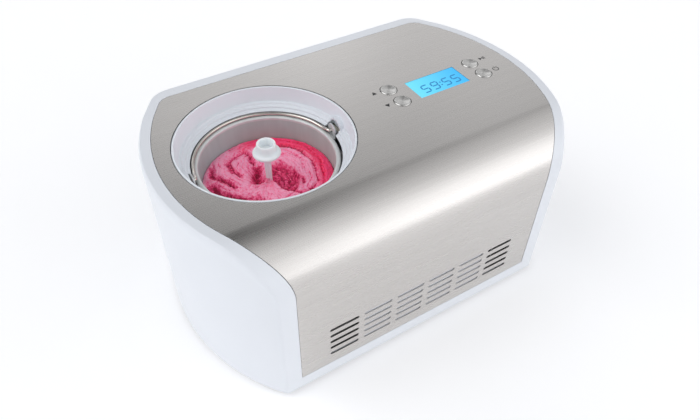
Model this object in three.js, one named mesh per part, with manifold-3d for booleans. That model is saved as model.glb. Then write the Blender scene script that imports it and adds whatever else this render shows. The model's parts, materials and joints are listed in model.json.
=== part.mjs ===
// Compressor ice cream maker with a lift-out bowl, standing on four feet.
// Millimetres, +Z up, +X along the long side, -Y towards the vented front.
// The origin is on the standing surface, below the middle of the casing.
import * as THREE from "three";
import { mergeVertices } from "three/addons/utils/BufferGeometryUtils.js";
import Module from "manifold-3d";

const wasm = await Module();
wasm.setup();

// ---- Driving dimensions ----------------------------------------------------

const WIDTH = 400; // end wall to end wall at the middle of the bowed ends
const DEPTH = 259.4; // front face to rear wall
const HEIGHT = 188; // standing surface to the flat top
const FOOT_HEIGHT = 4.8; // standing surface to the lower edge of the casing
const END_RADIUS = 197.7; // plan radius of the bowed end walls
const SHOULDER = 50; // radius from the flat top into the upright front
const WALL = 3.2; // casing wall
const GAP = 0.3; // clearance between pieces that touch
const FRONT_CORNER = 5; // plan radius where front and end wall meet
const REAR_CORNER = 27; // plan radius where rear and end wall meet
const RIM_INSET = 3.5; // how far the soft top edge runs in from the wall
const RIM_DROP = 8; // how far the same edge runs down the wall

const SEAM_SIDE = 11.6; // end wall to the edge of the steel panel
const SEAM_REAR = 14.8; // rear wall to the edge of the steel panel
const SEAM_BOTTOM = 14.6; // lower casing edge to the edge of the steel panel
const SEAM_CORNER = 17; // plan radius of the panel's rear corners
const PANEL_SEAT = 1.4; // depth of the panel's seat in the casing
const PANEL_THICK = 1.0;
const SEAM_GAP = 0.45; // visible line between panel and casing

const BOWL_X = -90; // axis of the opening, well, bowl and stirrer
const BOWL_Y = 9.2;
const OPENING_RADIUS = 83.4; // hole in the steel panel
const PIVOT_Y = 3; // bail pivot, behind the bowl's axis
const PIVOT_Z = HEIGHT - 21;
const WIRE_RADIUS = 1.5;
const STIRRER_TURN = 35; // resting turn of the stirrer and its shaft, in degrees

const LCD_X = 98;
const LCD_Y = 2;
const LCD_WIDTH = 60;
const LCD_DEPTH = 29.5;
const BUTTON_RADIUS = 8.4;
const BUTTONS = {
  button_up: [47.7, 15.2],
  button_down: [48.8, -7.1],
  button_start: [148.2, 12.3],
  button_power: [148.8, -9.1],
};

const VENT_COLUMNS = 6;
const VENT_ROWS = 5;
const VENT_LENGTH = 30.5;
const VENT_HEIGHT = 3.5;
const LEDGE_DROP = 0.2; // slot middle to the casing's ledge behind it
const VENT_PITCH_X = 36.4;
const VENT_PITCH_Z = 9.1;
const VENT_MIDDLE_X = 1.1;
const VENT_LOW_Z = FOOT_HEIGHT + 30.3;

const FEET = {
  front_left: [-140, -95],
  front_right: [140, -95],
  rear_left: [-140, 95],
  rear_right: [140, 95],
};
const FOOT_RADIUS = 10;
const SCREW_RADIUS = 1.7;

const FLOOR_Z = FOOT_HEIGHT + 0.5; // underside of the base plate
const FLOOR_THICK = 3;
const DECK_Z = FLOOR_Z + FLOOR_THICK; // upper face of the base plate

const GEAR_MODULE = 1.5;
const PINION_TEETH = 10;
const OUTPUT_TEETH = 40;
const IDLER_TEETH = 30;
const GEAR_THICK = 4;
const IDLER_X = BOWL_X + (GEAR_MODULE * (OUTPUT_TEETH + PINION_TEETH)) / 2;
const MOTOR_X = IDLER_X + (GEAR_MODULE * (IDLER_TEETH + PINION_TEETH)) / 2;
const GEARBOX_Z = DECK_Z + GAP; // underside of the gearbox
const LOWER_GEAR_Z = GEARBOX_Z + 3; // output gear and idler pinion
const UPPER_GEAR_Z = LOWER_GEAR_Z + GEAR_THICK + 0.8; // idler wheel and motor pinion
const COVER_Z = UPPER_GEAR_Z + GEAR_THICK + 0.8;
const COVER_THICK = 2.5;
const MOTOR_RADIUS = 22;
const MOTOR_HEIGHT = 25;
const SHAFT_RADIUS = 5;
const SHAFT_TOP = HEIGHT - 76;

const COMPRESSOR_X = 118;
const COMPRESSOR_Y = 44;
const COMPRESSOR_RADIUS = 50;
const COMPRESSOR_Z = DECK_Z + 8; // underside of the compressor's foot plate
const COMPRESSOR_HEIGHT = 122;

const CONDENSER_X = 48; // middle of the condenser and of its fan
const CONDENSER_WIDTH = 118;
const CONDENSER_Y = -122; // front face
const CONDENSER_DEPTH = 20;
const CONDENSER_HEIGHT = 86;
const CONDENSER_Z = DECK_Z + GAP;
const FAN_RADIUS = 40;
const FAN_Y = -99; // front face of the fan frame
const FAN_Z = CONDENSER_Z + CONDENSER_HEIGHT / 2;

const BOARD_Z = HEIGHT - 22; // upper face of the control board

const INLET_X = 30; // mains inlet on the rear wall
const INLET_Z = 36;

const FRONT_Y = -DEPTH / 2;
const REAR_Y = DEPTH / 2;
const END_CENTRE_X = WIDTH / 2 - END_RADIUS;

// ---- Materials -------------------------------------------------------------

const finish = (color, roughness, metalness = 0) =>
  new THREE.MeshStandardMaterial({ color, roughness, metalness });
const white = () => finish(0xe9ebf1, 0.35);
const steel = () => finish(0xb9b6b0, 0.35, 1);
const zinc = () => finish(0xa9acb0, 0.45, 1);
const aluminium = () => finish(0xc9cbcc, 0.4, 1);
const copper = () => finish(0xb8703f, 0.35, 1);
const black = () => finish(0x17181a, 0.55);
const rubber = () => finish(0x2a2a2c, 0.85);
const grey = () => finish(0x8d9093, 0.6);
const milky = () => finish(0xe6ebf0, 0.3);
const nylon = () => finish(0xd9d3c0, 0.5);
const foam = () => finish(0xd8cf9e, 0.95);
const green = () => finish(0x1f5a3a, 0.5);
const display = () => finish(0x35c8ef, 0.15);

// ---- Solid helpers ---------------------------------------------------------

// A closed three.js geometry as a solid that can be cut and joined.
function solid(geometry) {
  const bare = geometry.index ? geometry.toNonIndexed() : geometry.clone();
  bare.deleteAttribute("normal");
  bare.deleteAttribute("uv");
  const merged = mergeVertices(bare, 1e-4);
  return new wasm.Manifold(
    new wasm.Mesh({
      numProp: 3,
      vertProperties: merged.attributes.position.array,
      triVerts: new Uint32Array(merged.index.array),
    }),
  );
}

// A solid turned back into a three.js geometry.
function geometryOf(body) {
  const out = body.getMesh();
  const geometry = new THREE.BufferGeometry();
  geometry.setAttribute("position", new THREE.BufferAttribute(out.vertProperties, 3));
  geometry.setIndex(new THREE.BufferAttribute(out.triVerts, 1));
  geometry.computeVertexNormals();
  return geometry;
}

const join = (bodies) => bodies.reduce((all, body) => all.add(body));
const cut = (body, tools) => tools.reduce((left, tool) => left.subtract(tool), body);

function polygon(points, holes = []) {
  const shape = new THREE.Shape(points.map(([x, y]) => new THREE.Vector2(x, y)));
  for (const hole of holes) {
    shape.holes.push(new THREE.Path(hole.map(([x, y]) => new THREE.Vector2(x, y))));
  }
  return shape;
}

const plainExtrude = (shape, depth) =>
  new THREE.ExtrudeGeometry(shape, { depth, bevelEnabled: false });

// Prisms: an outline in XY raised along Z, in YZ along X, or in XZ along Y.
function prismZ(points, low, high, holes = []) {
  return solid(plainExtrude(polygon(points, holes), high - low).translate(0, 0, low));
}

function prismX(points, low, high) {
  const geometry = plainExtrude(polygon(points), high - low);
  const turn = new THREE.Matrix4().set(0, 0, 1, low, 1, 0, 0, 0, 0, 1, 0, 0, 0, 0, 0, 1);
  return solid(geometry.applyMatrix4(turn));
}

function prismY(points, low, high, holes = []) {
  const geometry = plainExtrude(polygon(points, holes), high - low);
  return solid(geometry.rotateX(Math.PI / 2).translate(0, high, 0));
}

function box(low, high) {
  const size = high.map((value, i) => value - low[i]);
  const middle = high.map((value, i) => (value + low[i]) / 2);
  return solid(new THREE.BoxGeometry(...size).translate(...middle));
}

// An upright cylinder on the axis (x, y).
function post(x, y, radius, low, high, sides = 24) {
  const geometry = new THREE.CylinderGeometry(radius, radius, high - low, sides);
  return solid(geometry.rotateX(Math.PI / 2).translate(x, y, (low + high) / 2));
}

// A cylinder along Y, on the axis (x, z).
function barrel(x, z, radius, low, high, sides = 24) {
  const geometry = new THREE.CylinderGeometry(radius, radius, high - low, sides);
  return solid(geometry.translate(x, (low + high) / 2, z));
}

// A profile of [radius, height] pairs turned about the upright axis (x, y).
// The profile runs upwards on its outer side, so that its faces point out.
function turned(profile, sides, x = 0, y = 0) {
  const points = profile.map(([radius, height]) => new THREE.Vector2(radius, height));
  const geometry = new THREE.LatheGeometry(points, sides).rotateX(Math.PI / 2);
  return solid(geometry.translate(x, y, 0));
}

const closed = (profile) => [...profile, profile[0]];

function circle(radius, sides, x = 0, y = 0) {
  const at = (i) => (2 * Math.PI * i) / sides;
  return Array.from({ length: sides }, (_, i) => [
    x + radius * Math.cos(at(i)),
    y + radius * Math.sin(at(i)),
  ]);
}

// Points on an arc, from one angle to another in degrees.
function arc(x, y, radius, from, to, steps) {
  return Array.from({ length: steps + 1 }, (_, i) => {
    const angle = THREE.MathUtils.degToRad(from + ((to - from) * i) / steps);
    return [x + radius * Math.cos(angle), y + radius * Math.sin(angle)];
  });
}

// A round bar along a smooth curve through the points.
function bar(curve, radius, sides, steps) {
  const section = polygon(circle(radius, sides));
  return solid(new THREE.ExtrudeGeometry(section, { extrudePath: curve, steps, bevelEnabled: false }));
}

function smooth(points) {
  const vectors = points.map((point) => new THREE.Vector3(...point));
  return new THREE.CatmullRomCurve3(vectors, false, "centripetal");
}

const pipe = (points, radius, steps) => bar(smooth(points), radius, 6, steps);

// ---- The group -------------------------------------------------------------

const iceCreamMaker = new THREE.Group();

function add(name, body, material) {
  const mesh = new THREE.Mesh(geometryOf(body), material);
  mesh.name = name;
  iceCreamMaker.add(mesh);
}

// ---- Casing shape ----------------------------------------------------------

// Places along an end wall: close together over the shoulder, wider behind it.
function endStations(frontY, rearY) {
  const shoulderSteps = 9;
  const topSteps = 8;
  const topY = FRONT_Y + SHOULDER;
  const lowTurn = Math.acos(Math.min((topY - frontY) / SHOULDER, 1));
  const stations = [];
  for (let i = 1; i <= shoulderSteps; i += 1) {
    const turn = lowTurn + (i / shoulderSteps) * (Math.PI / 2 - lowTurn);
    stations.push(topY - SHOULDER * Math.cos(turn));
  }
  for (let i = 1; i < topSteps; i += 1) {
    stations.push(topY + (i / topSteps) * (rearY - topY));
  }
  return stations;
}

// Right half of the plan outline, from the front corner round to the rear one.
// The insets move it in from the outer wall.
function halfOutline({ side = 0, front = 0, rear = 0, frontCorner, rearCorner }) {
  const endRadius = END_RADIUS - side;
  const corner = (edgeY, radius) => {
    const y = edgeY - Math.sign(edgeY) * radius;
    const x = END_CENTRE_X + Math.sqrt((endRadius - radius) ** 2 - y ** 2);
    return { x, y, angle: THREE.MathUtils.radToDeg(Math.atan2(y, x - END_CENTRE_X)) };
  };
  const low = corner(FRONT_Y + front, frontCorner);
  const high = corner(REAR_Y - rear, rearCorner);
  const end = endRadius * Math.sin(THREE.MathUtils.degToRad(low.angle));
  const stations = endStations(end, high.y).map((y) => [
    END_CENTRE_X + Math.sqrt(endRadius ** 2 - y ** 2),
    y,
  ]);
  return [
    ...arc(low.x, low.y, frontCorner, -90, low.angle, 2),
    ...stations,
    ...arc(high.x, high.y, rearCorner, high.angle, 90, 4),
  ];
}

const mirrored = (half) => half.map(([x, y]) => [-x, y]).reverse();
const fullOutline = (insets) => {
  const half = halfOutline(insets);
  return [...half, ...mirrored(half)];
};

// Height of the top and shoulder surface at y, sunk by an inset.
function surfaceZ(y, inset) {
  const below = FRONT_Y + SHOULDER - y;
  if (below <= 0) return HEIGHT - inset;
  const radius = SHOULDER - inset;
  return HEIGHT - SHOULDER + Math.sqrt(Math.max(radius ** 2 - below ** 2, 0));
}

// How level the surface is at y: 1 on the flat top, 0 on the upright front.
function levelness(y) {
  return (surfaceZ(y, 0) - (HEIGHT - SHOULDER)) / SHOULDER;
}

// A block with the casing's plan, flat top and round shoulder.
// Its top edge is softened along the ends and the rear where edge is above 0.
function casingBlock(insets, sunk, bottom, edge) {
  const rings = [];
  const steps = edge > 0 ? 3 : 0;
  for (let k = 0; k <= steps; k += 1) {
    const turn = steps ? (k / steps) * (Math.PI / 2) : 0;
    const inward = edge * RIM_INSET * (1 - Math.cos(turn));
    const drop = edge * RIM_DROP * (1 - Math.sin(turn));
    const half = halfOutline({
      ...insets,
      side: insets.side + inward,
      rear: insets.rear + inward,
      rearCorner: insets.rearCorner - inward,
    });
    rings.push(half.map(([x, y]) => [x, y, surfaceZ(y, sunk) - drop * levelness(y)]));
  }
  const ground = halfOutline(insets).map(([x, y]) => [x, y, bottom]);
  rings.unshift(ground);

  const half = ground.length;
  const loop = 2 * half;
  const positions = [];
  for (const ring of rings) {
    positions.push(...ring.flat());
    positions.push(...ring.map(([x, y, z]) => [-x, y, z]).reverse().flat());
  }
  const faces = [];
  for (let k = 0; k + 1 < rings.length; k += 1) {
    for (let i = 0; i < loop; i += 1) {
      const next = (i + 1) % loop;
      const [a, b] = [k * loop + i, k * loop + next];
      faces.push(a, b, b + loop, a, b + loop, a + loop);
    }
  }
  const last = (rings.length - 1) * loop;
  for (let i = 0; i + 1 < half; i += 1) {
    const [right, left] = [i, loop - 1 - i];
    faces.push(right, left, left - 1, right, left - 1, right + 1);
    const [topRight, topLeft] = [last + right, last + left];
    faces.push(topRight, topLeft - 1, topLeft, topRight, topRight + 1, topLeft - 1);
  }
  const geometry = new THREE.BufferGeometry();
  geometry.setAttribute("position", new THREE.Float32BufferAttribute(positions, 3));
  geometry.setIndex(faces);
  return solid(geometry);
}

// The bent layer of the casing between two depths, over top, shoulder and front.
function bentLayer(upper, lower, rearY, bottomZ) {
  const middle = [FRONT_Y + SHOULDER, HEIGHT - SHOULDER];
  const outer = arc(...middle, SHOULDER - upper, 90, 180, 12);
  const inner = arc(...middle, SHOULDER - lower, 180, 90, 12);
  const section = [
    [rearY, HEIGHT - upper],
    ...outer,
    [FRONT_Y + upper, bottomZ],
    [FRONT_Y + lower, bottomZ],
    ...inner,
    [rearY, HEIGHT - lower],
  ];
  return prismX(section, -WIDTH / 2, WIDTH / 2);
}

// The steel panel's plan region, drawn in by a gap.
function panelRegion(gap) {
  const outline = fullOutline({
    side: SEAM_SIDE + gap,
    front: -5,
    rear: SEAM_REAR + gap,
    frontCorner: 1,
    rearCorner: SEAM_CORNER,
  });
  return prismZ(outline, 0, HEIGHT + 5);
}

// One horizontal slot with cut corners, as an outline in XZ.
function slotOutline(x, z, length, height) {
  const [far, near, high] = [length / 2, length / 2 - height / 2, height / 2];
  return [
    [x + far, z],
    [x + near, z + high],
    [x - near, z + high],
    [x - far, z],
    [x - near, z - high],
    [x + near, z - high],
  ];
}

const ventColumnX = (column) => VENT_MIDDLE_X + (column - (VENT_COLUMNS - 1) / 2) * VENT_PITCH_X;

function frontSlots() {
  const slots = [];
  for (let column = 0; column < VENT_COLUMNS; column += 1) {
    for (let row = 0; row < VENT_ROWS; row += 1) {
      const z = VENT_LOW_Z + row * VENT_PITCH_Z;
      const outline = slotOutline(ventColumnX(column), z, VENT_LENGTH, VENT_HEIGHT);
      slots.push(prismY(outline, FRONT_Y - 5, FRONT_Y + 5));
    }
  }
  return slots;
}

// One opening in the casing behind each column of slots.
// Holes in the casing behind the vents: a window behind each end column, and
// narrower slots with a ledge behind the lower half of every other vent.
function ventWindows() {
  const reach = VENT_LENGTH / 2 + 0.75;
  const hole = (x, low, high) => box([x - reach, FRONT_Y - 5, low], [x + reach, FRONT_Y + 8, high]);
  const rows = Array.from({ length: VENT_ROWS }, (_, row) => VENT_LOW_Z + row * VENT_PITCH_Z);
  const clear = VENT_HEIGHT / 2 + 0.3;
  return Array.from({ length: VENT_COLUMNS }, (_, column) => {
    const x = ventColumnX(column);
    const atEnd = column === 0 || column === VENT_COLUMNS - 1;
    if (atEnd) return [hole(x, rows[0] - clear, rows[VENT_ROWS - 1] + clear)];
    return rows.map((z) => hole(x, z - LEDGE_DROP, z + clear));
  }).flat();
}

const REAR_SLOTS = 7;
function rearSlots() {
  return Array.from({ length: REAR_SLOTS }, (_, row) => {
    const z = 60 + row * 10;
    return prismY(slotOutline(110, z, 70, 4), REAR_Y - 10, REAR_Y + 5);
  });
}

const casingInsets = { side: 0, front: 0, rear: 0, frontCorner: FRONT_CORNER, rearCorner: REAR_CORNER };
const innerInsets = {
  side: WALL,
  front: WALL,
  rear: WALL,
  frontCorner: FRONT_CORNER - WALL,
  rearCorner: REAR_CORNER - WALL,
};

function buildShell() {
  let body = casingBlock(casingInsets, 0, FOOT_HEIGHT, 1);
  body = body.subtract(casingBlock(innerInsets, WALL, FOOT_HEIGHT - 5, 0));
  const seat = bentLayer(-4, PANEL_SEAT, REAR_Y, FOOT_HEIGHT + SEAM_BOTTOM);
  body = body.subtract(seat.intersect(panelRegion(0)));
  const bosses = Object.values(FEET).map(([x, y]) => {
    const side = Math.sign(x);
    const rib = box(
      [Math.min(x, x + side * 32), y - 1.5, DECK_Z + GAP],
      [Math.max(x, x + side * 32), y + 1.5, DECK_Z + 22],
    );
    return post(x, y, 5, DECK_Z + GAP, DECK_Z + 22, 12).add(rib);
  });
  const within = casingBlock(
    { side: 1, front: 1, rear: 1, frontCorner: 3, rearCorner: REAR_CORNER - 1 },
    1,
    FOOT_HEIGHT,
    0,
  );
  body = body.add(join(bosses).intersect(within));
  const pilots = Object.values(FEET).map(([x, y]) =>
    post(x, y, SCREW_RADIUS + GAP, DECK_Z - 2, DECK_Z + 18, 8),
  );
  const holes = [
    post(BOWL_X, BOWL_Y, OPENING_RADIUS + 1.2, HEIGHT - 12, HEIGHT + 5, 48),
    box(
      [LCD_X - LCD_WIDTH / 2 - 0.6, LCD_Y - LCD_DEPTH / 2 - 0.6, HEIGHT - 10],
      [LCD_X + LCD_WIDTH / 2 + 0.6, LCD_Y + LCD_DEPTH / 2 + 0.6, HEIGHT + 5],
    ),
    ...Object.values(BUTTONS).map(([x, y]) =>
      post(x, y, BUTTON_RADIUS + 1.2, HEIGHT - 10, HEIGHT + 5, 12),
    ),
    ...ventWindows(),
    ...rearSlots(),
    ...pilots,
    box([INLET_X - 14.3, REAR_Y - 10, INLET_Z - 10.8], [INLET_X + 14.3, REAR_Y + 5, INLET_Z + 10.8]),
  ];
  add("shell", cut(body, holes), white());
}

function buildSteelPanel() {
  const sheet = bentLayer(0, PANEL_THICK, REAR_Y, FOOT_HEIGHT + SEAM_BOTTOM + SEAM_GAP);
  const holes = [
    post(BOWL_X, BOWL_Y, OPENING_RADIUS, HEIGHT - 10, HEIGHT + 5, 48),
    box(
      [LCD_X - LCD_WIDTH / 2, LCD_Y - LCD_DEPTH / 2, HEIGHT - 5],
      [LCD_X + LCD_WIDTH / 2, LCD_Y + LCD_DEPTH / 2, HEIGHT + 5],
    ),
    ...Object.values(BUTTONS).map(([x, y]) =>
      post(x, y, BUTTON_RADIUS + 0.5, HEIGHT - 5, HEIGHT + 5, 20),
    ),
    ...frontSlots(),
  ];
  add("steel_panel", cut(sheet.intersect(panelRegion(SEAM_GAP)), holes), steel());
}

function buildBasePlate() {
  const inset = WALL + GAP;
  const outline = fullOutline({
    side: inset,
    front: inset,
    rear: inset,
    frontCorner: 2,
    rearCorner: REAR_CORNER - inset,
  });
  const plate = prismZ(outline, FLOOR_Z, DECK_Z);
  const screws = Object.values(FEET).map(([x, y]) =>
    post(x, y, SCREW_RADIUS + GAP, FLOOR_Z - 1, DECK_Z + 1, 8),
  );
  const slots = Array.from({ length: 6 }, (_, i) => {
    const y = -90 + i * 9;
    return box([78, y - 2.2, FLOOR_Z - 1], [122, y + 2.2, DECK_Z + 1]);
  });
  const studs = compressorFeet().map(([x, y]) => post(x, y, 3.5, DECK_Z - 1, COMPRESSOR_Z + 5, 10));
  add("base_plate", cut(plate, [...screws, ...slots]).add(join(studs)), grey());
}

function buildFeet() {
  for (const [place, [x, y]] of Object.entries(FEET)) {
    const foot = closed([
      [5.2, 0],
      [FOOT_RADIUS - 1.2, 0],
      [FOOT_RADIUS, 1.2],
      [FOOT_RADIUS - 0.8, FLOOR_Z - GAP],
      [SCREW_RADIUS + GAP, FLOOR_Z - GAP],
      [SCREW_RADIUS + GAP, 2.6],
      [5.2, 2.6],
    ]);
    add(`foot_${place}`, turned(foot, 12, x, y), rubber());
    const screw = [
      [0, 0.8],
      [3.4, 0.8],
      [4.2, 1.4],
      [4.2, 2.3],
      [SCREW_RADIUS, 2.3],
      [SCREW_RADIUS, DECK_Z + 14],
      [0, DECK_Z + 16],
    ];
    const drive = box([x - 2.4, y - 0.5, 0], [x + 2.4, y + 0.5, 1.6]);
    add(`foot_screw_${place}`, turned(screw, 8, x, y).subtract(drive), zinc());
  }
}

// ---- Cold well and its surroundings ----------------------------------------

const NOTCH_RADIUS = 9.5; // arch of the collar's pocket round a bowl ear
const fromTop = (profile) => profile.map(([radius, depth]) => [radius, HEIGHT - depth]);

function buildCollar() {
  const profile = closed(
    fromTop([
      [70.6, 22],
      [74.2, 22.2],
      [76.6, 19.4],
      [80, 16.4],
      [82.4, 13],
      [82.4, 7.6],
      [92, 7.6],
      [92, 5.6],
      [82.4, 5.6],
      [82.4, 1.2],
      [83, 0.5],
      [82.7, -0.3],
      [81.6, -0.2],
      [81, 1.4],
      [78.8, 14.4],
      [76.4, 15.3],
      [75.6, 17],
      [73.2, 18],
      [72.8, 19.6],
      [70.9, 20.4],
    ]),
  );
  let body = turned(profile, 36, BOWL_X, BOWL_Y);
  const arch = (radius, depth) =>
    [
      [-radius, HEIGHT - depth],
      [radius, HEIGHT - depth],
      ...arc(0, PIVOT_Z, radius, 0, 180, 10),
    ].map(([y, z]) => [y + BOWL_Y + PIVOT_Y, z]);
  for (const side of [-1, 1]) {
    const reach = (near, far, outline) => {
      const ends = [BOWL_X + side * near, BOWL_X + side * far].sort((a, b) => a - b);
      return prismX(outline, ...ends);
    };
    body = body.add(reach(74.6, 81.5, arch(NOTCH_RADIUS + 2, 21.5)));
    body = body.subtract(reach(66, 78.5, arch(NOTCH_RADIUS, 24)));
  }
  add("bowl_ring", body, white());
}

function buildWell() {
  const well = closed(
    fromTop([
      [12, 127.4],
      [67.9, 127.4],
      [67.9, 40.4],
      [75, 37.2],
      [75, 22.6],
      [73.6, 22.6],
      [73.6, 36.4],
      [66.4, 39.4],
      [66.4, 125.9],
      [12, 125.9],
    ]),
  );
  add("cold_well", turned(well, 28, BOWL_X, BOWL_Y), aluminium());
  const jacket = closed(
    fromTop([
      [14, 136],
      [84, 136],
      [86, 132],
      [86, 24],
      [76.6, 24],
      [76.6, 128],
      [14, 128],
    ]),
  );
  const pipeSlot = box([BOWL_X - 5, BOWL_Y + 60, 62], [BOWL_X + 46, BOWL_Y + 95, 170]);
  add("foam_jacket", turned(jacket, 28, BOWL_X, BOWL_Y).subtract(pipeSlot), foam());
}

// A helix about the bowl's axis, rising by one pitch a turn.
class Helix extends THREE.Curve {
  constructor(radius, low, pitch, turns, start) {
    super();
    Object.assign(this, { radius, low, pitch, turns, start });
  }

  getPoint(t) {
    const angle = this.start + t * this.turns * 2 * Math.PI;
    return new THREE.Vector3(
      BOWL_X + this.radius * Math.cos(angle),
      BOWL_Y + this.radius * Math.sin(angle),
      this.low + t * this.turns * this.pitch,
    );
  }
}

const COIL_RADIUS = 72.6;
const COIL_TUBE = 3;
const COIL_LOW = HEIGHT - 118;
const COIL_PITCH = 18;
const COIL_TURNS = 4;
const COIL_START = THREE.MathUtils.degToRad(80);
function buildEvaporator() {
  const helix = new Helix(COIL_RADIUS, COIL_LOW, COIL_PITCH, COIL_TURNS, COIL_START);
  add("evaporator_coil", bar(helix, COIL_TUBE, 5, 20 * COIL_TURNS), copper());
}

// ---- Bowl, bail and paddle -------------------------------------------------

const CHIMNEY_TOP = HEIGHT - 92;
function buildBowl() {
  const profile = closed([
    ...fromTop([
      [7.2, 125.6],
      [59, 125.6],
      [64, 121],
      [64.8, 30],
      [64.9, 27.4],
      [66.9, 27.2],
      [68, 26.4],
      [68, 25.1],
      [67.2, 24.4],
      [64.3, 24.4],
      [63.4, 25.4],
      [63.2, 31],
      [62.6, 119.6],
      [58, 124.1],
      [8.8, 124.1],
    ]),
    [8.8, CHIMNEY_TOP],
    [7.2, CHIMNEY_TOP],
  ]);
  add("bowl", turned(profile, 32, BOWL_X, BOWL_Y), aluminium());
}

const EAR_RADIUS = 6.5;
// Bracket on the outside of the bowl that carries one end of the bail.
function buildEar(name, side) {
  const bent = [
    [65.2, 38],
    [66.8, 38],
    [66.8, 32.3],
    [72, 27.2],
    [72, 12],
    [70.3, 12],
    [70.3, 26.5],
    [65.2, 31.6],
  ].map(([x, depth]) => [side * x, HEIGHT - depth]);
  const strip = prismY(side > 0 ? bent : bent.reverse(), -20, 20);
  const face = [
    [-EAR_RADIUS, HEIGHT - 40],
    [EAR_RADIUS, HEIGHT - 40],
    ...arc(0, PIVOT_Z, EAR_RADIUS, 0, 180, 8),
  ].map(([y, z]) => [y + PIVOT_Y, z]);
  const plate = strip.intersect(prismX(face, -100, 100));
  const eye = prismX(circle(WIRE_RADIUS + 0.3, 12, PIVOT_Y, PIVOT_Z), -100, 100);
  add(name, plate.subtract(eye).translate([BOWL_X, BOWL_Y, 0]), aluminium());
}

// Wire handle: a half ring behind the rim whose ends turn out into the ears.
function buildBail() {
  const ringRadius = 67.6;
  const ringZ = HEIGHT - 22.6;
  const end = [
    [73.8, PIVOT_Y, PIVOT_Z],
    [70.6, PIVOT_Y, PIVOT_Z],
    [68.4, PIVOT_Y + 0.8, PIVOT_Z],
    [67.4, PIVOT_Y + 3.8, PIVOT_Z - 0.3],
  ];
  const half = arc(0, 0, ringRadius, 12, 168, 13).map(([x, y]) => [x, y, ringZ]);
  const other = end.map(([x, y, z]) => [-x, y, z]).reverse();
  const route = [...end, ...half, ...other].map(([x, y, z]) => [x + BOWL_X, y + BOWL_Y, z]);
  add("bowl_handle", bar(smooth(route), WIRE_RADIUS, 6, 44), steel());
}

const BLADE_THICK = 3;
function buildPaddle() {
  const hub = [
    [0, HEIGHT - 72],
    [2.9, HEIGHT - 72],
    [2.9, HEIGHT - 50],
    [3.5, HEIGHT - 23],
    [8.6, HEIGHT - 20.6],
    [12.7, HEIGHT - 18.6],
    [13.2, HEIGHT - 16.8],
    [12.3, HEIGHT - 15],
    [9.5, HEIGHT - 13.4],
    [8.9, HEIGHT - 6.6],
    [8.2, HEIGHT - 6],
    [6.8, HEIGHT - 6.4],
    [6.4, HEIGHT - 14],
    [0, HEIGHT - 14],
  ];
  const sleeve = closed([
    [9.4, HEIGHT - 123.2],
    [12, HEIGHT - 123.2],
    [12, HEIGHT - 74],
    [8, HEIGHT - 70],
    [2, HEIGHT - 70],
    [2, HEIGHT - 74.5],
    [9.4, HEIGHT - 74.5],
  ]);
  const crown = [
    [0, HEIGHT - 90.5],
    [10.5, HEIGHT - 90.5],
    [10.5, HEIGHT - 71],
    [0, HEIGHT - 71],
  ];
  const blade = [
    [10.5, HEIGHT - 122.8],
    [55, HEIGHT - 122.8],
    [60.5, HEIGHT - 118],
    [61.4, HEIGHT - 68],
    [52, HEIGHT - 64],
    [40, HEIGHT - 84],
    [10.5, HEIGHT - 94],
  ];
  const window = [
    [20, HEIGHT - 114],
    [50, HEIGHT - 114],
    [51.5, HEIGHT - 84],
    [44, HEIGHT - 94],
    [20, HEIGHT - 102],
  ];
  const rake = [
    [-10.5, HEIGHT - 122.8],
    [-10.5, HEIGHT - 100],
    [-34, HEIGHT - 96],
    [-48, HEIGHT - 70],
    [-58, HEIGHT - 70],
    [-60.5, HEIGHT - 118],
    [-55, HEIGHT - 122.8],
  ];
  const notch = [
    [-46, HEIGHT - 114],
    [-22, HEIGHT - 114],
    [-22, HEIGHT - 107],
    [-40, HEIGHT - 102],
  ];
  const half = BLADE_THICK / 2;
  const socket = box([-4.3, -4.3, HEIGHT - 95], [4.3, 4.3, SHAFT_TOP + 1]);
  const body = join([
    turned(hub, 20),
    turned(sleeve, 16),
    turned(crown, 16),
    prismY(blade, -half, half, [window]),
    prismY(rake.reverse(), -half, half, [notch]),
  ]).subtract(socket);
  const ready = body.rotate([0, 0, STIRRER_TURN]).translate([BOWL_X, BOWL_Y, 0]);
  add("paddle", ready, milky());
}

// ---- Stirrer drive ---------------------------------------------------------

// Outline of a spur gear with straight-flanked teeth. A tooth points along +X
// when turn is 0; turn is given in teeth.
function gearOutline(teeth, turn) {
  const pitch = (GEAR_MODULE * teeth) / 2;
  const halfThick = 0.66 * GEAR_MODULE;
  const flank = [
    [pitch - 1.2 * GEAR_MODULE, halfThick + 0.3 * GEAR_MODULE],
    [pitch + 0.85 * GEAR_MODULE, halfThick - 0.36 * GEAR_MODULE],
  ];
  const points = [];
  for (let i = 0; i < teeth; i += 1) {
    const middle = ((i + turn) * 2 * Math.PI) / teeth;
    for (const [radius, half] of [flank[0], flank[1]]) {
      const angle = middle - half / radius;
      points.push([radius * Math.cos(angle), radius * Math.sin(angle)]);
    }
    for (const [radius, half] of [flank[1], flank[0]]) {
      const angle = middle + half / radius;
      points.push([radius * Math.cos(angle), radius * Math.sin(angle)]);
    }
  }
  return points;
}

const gear = (teeth, turn, low, bore) =>
  prismZ(gearOutline(teeth, turn), low, low + GEAR_THICK, [circle(bore, 12).reverse()]);

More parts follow.
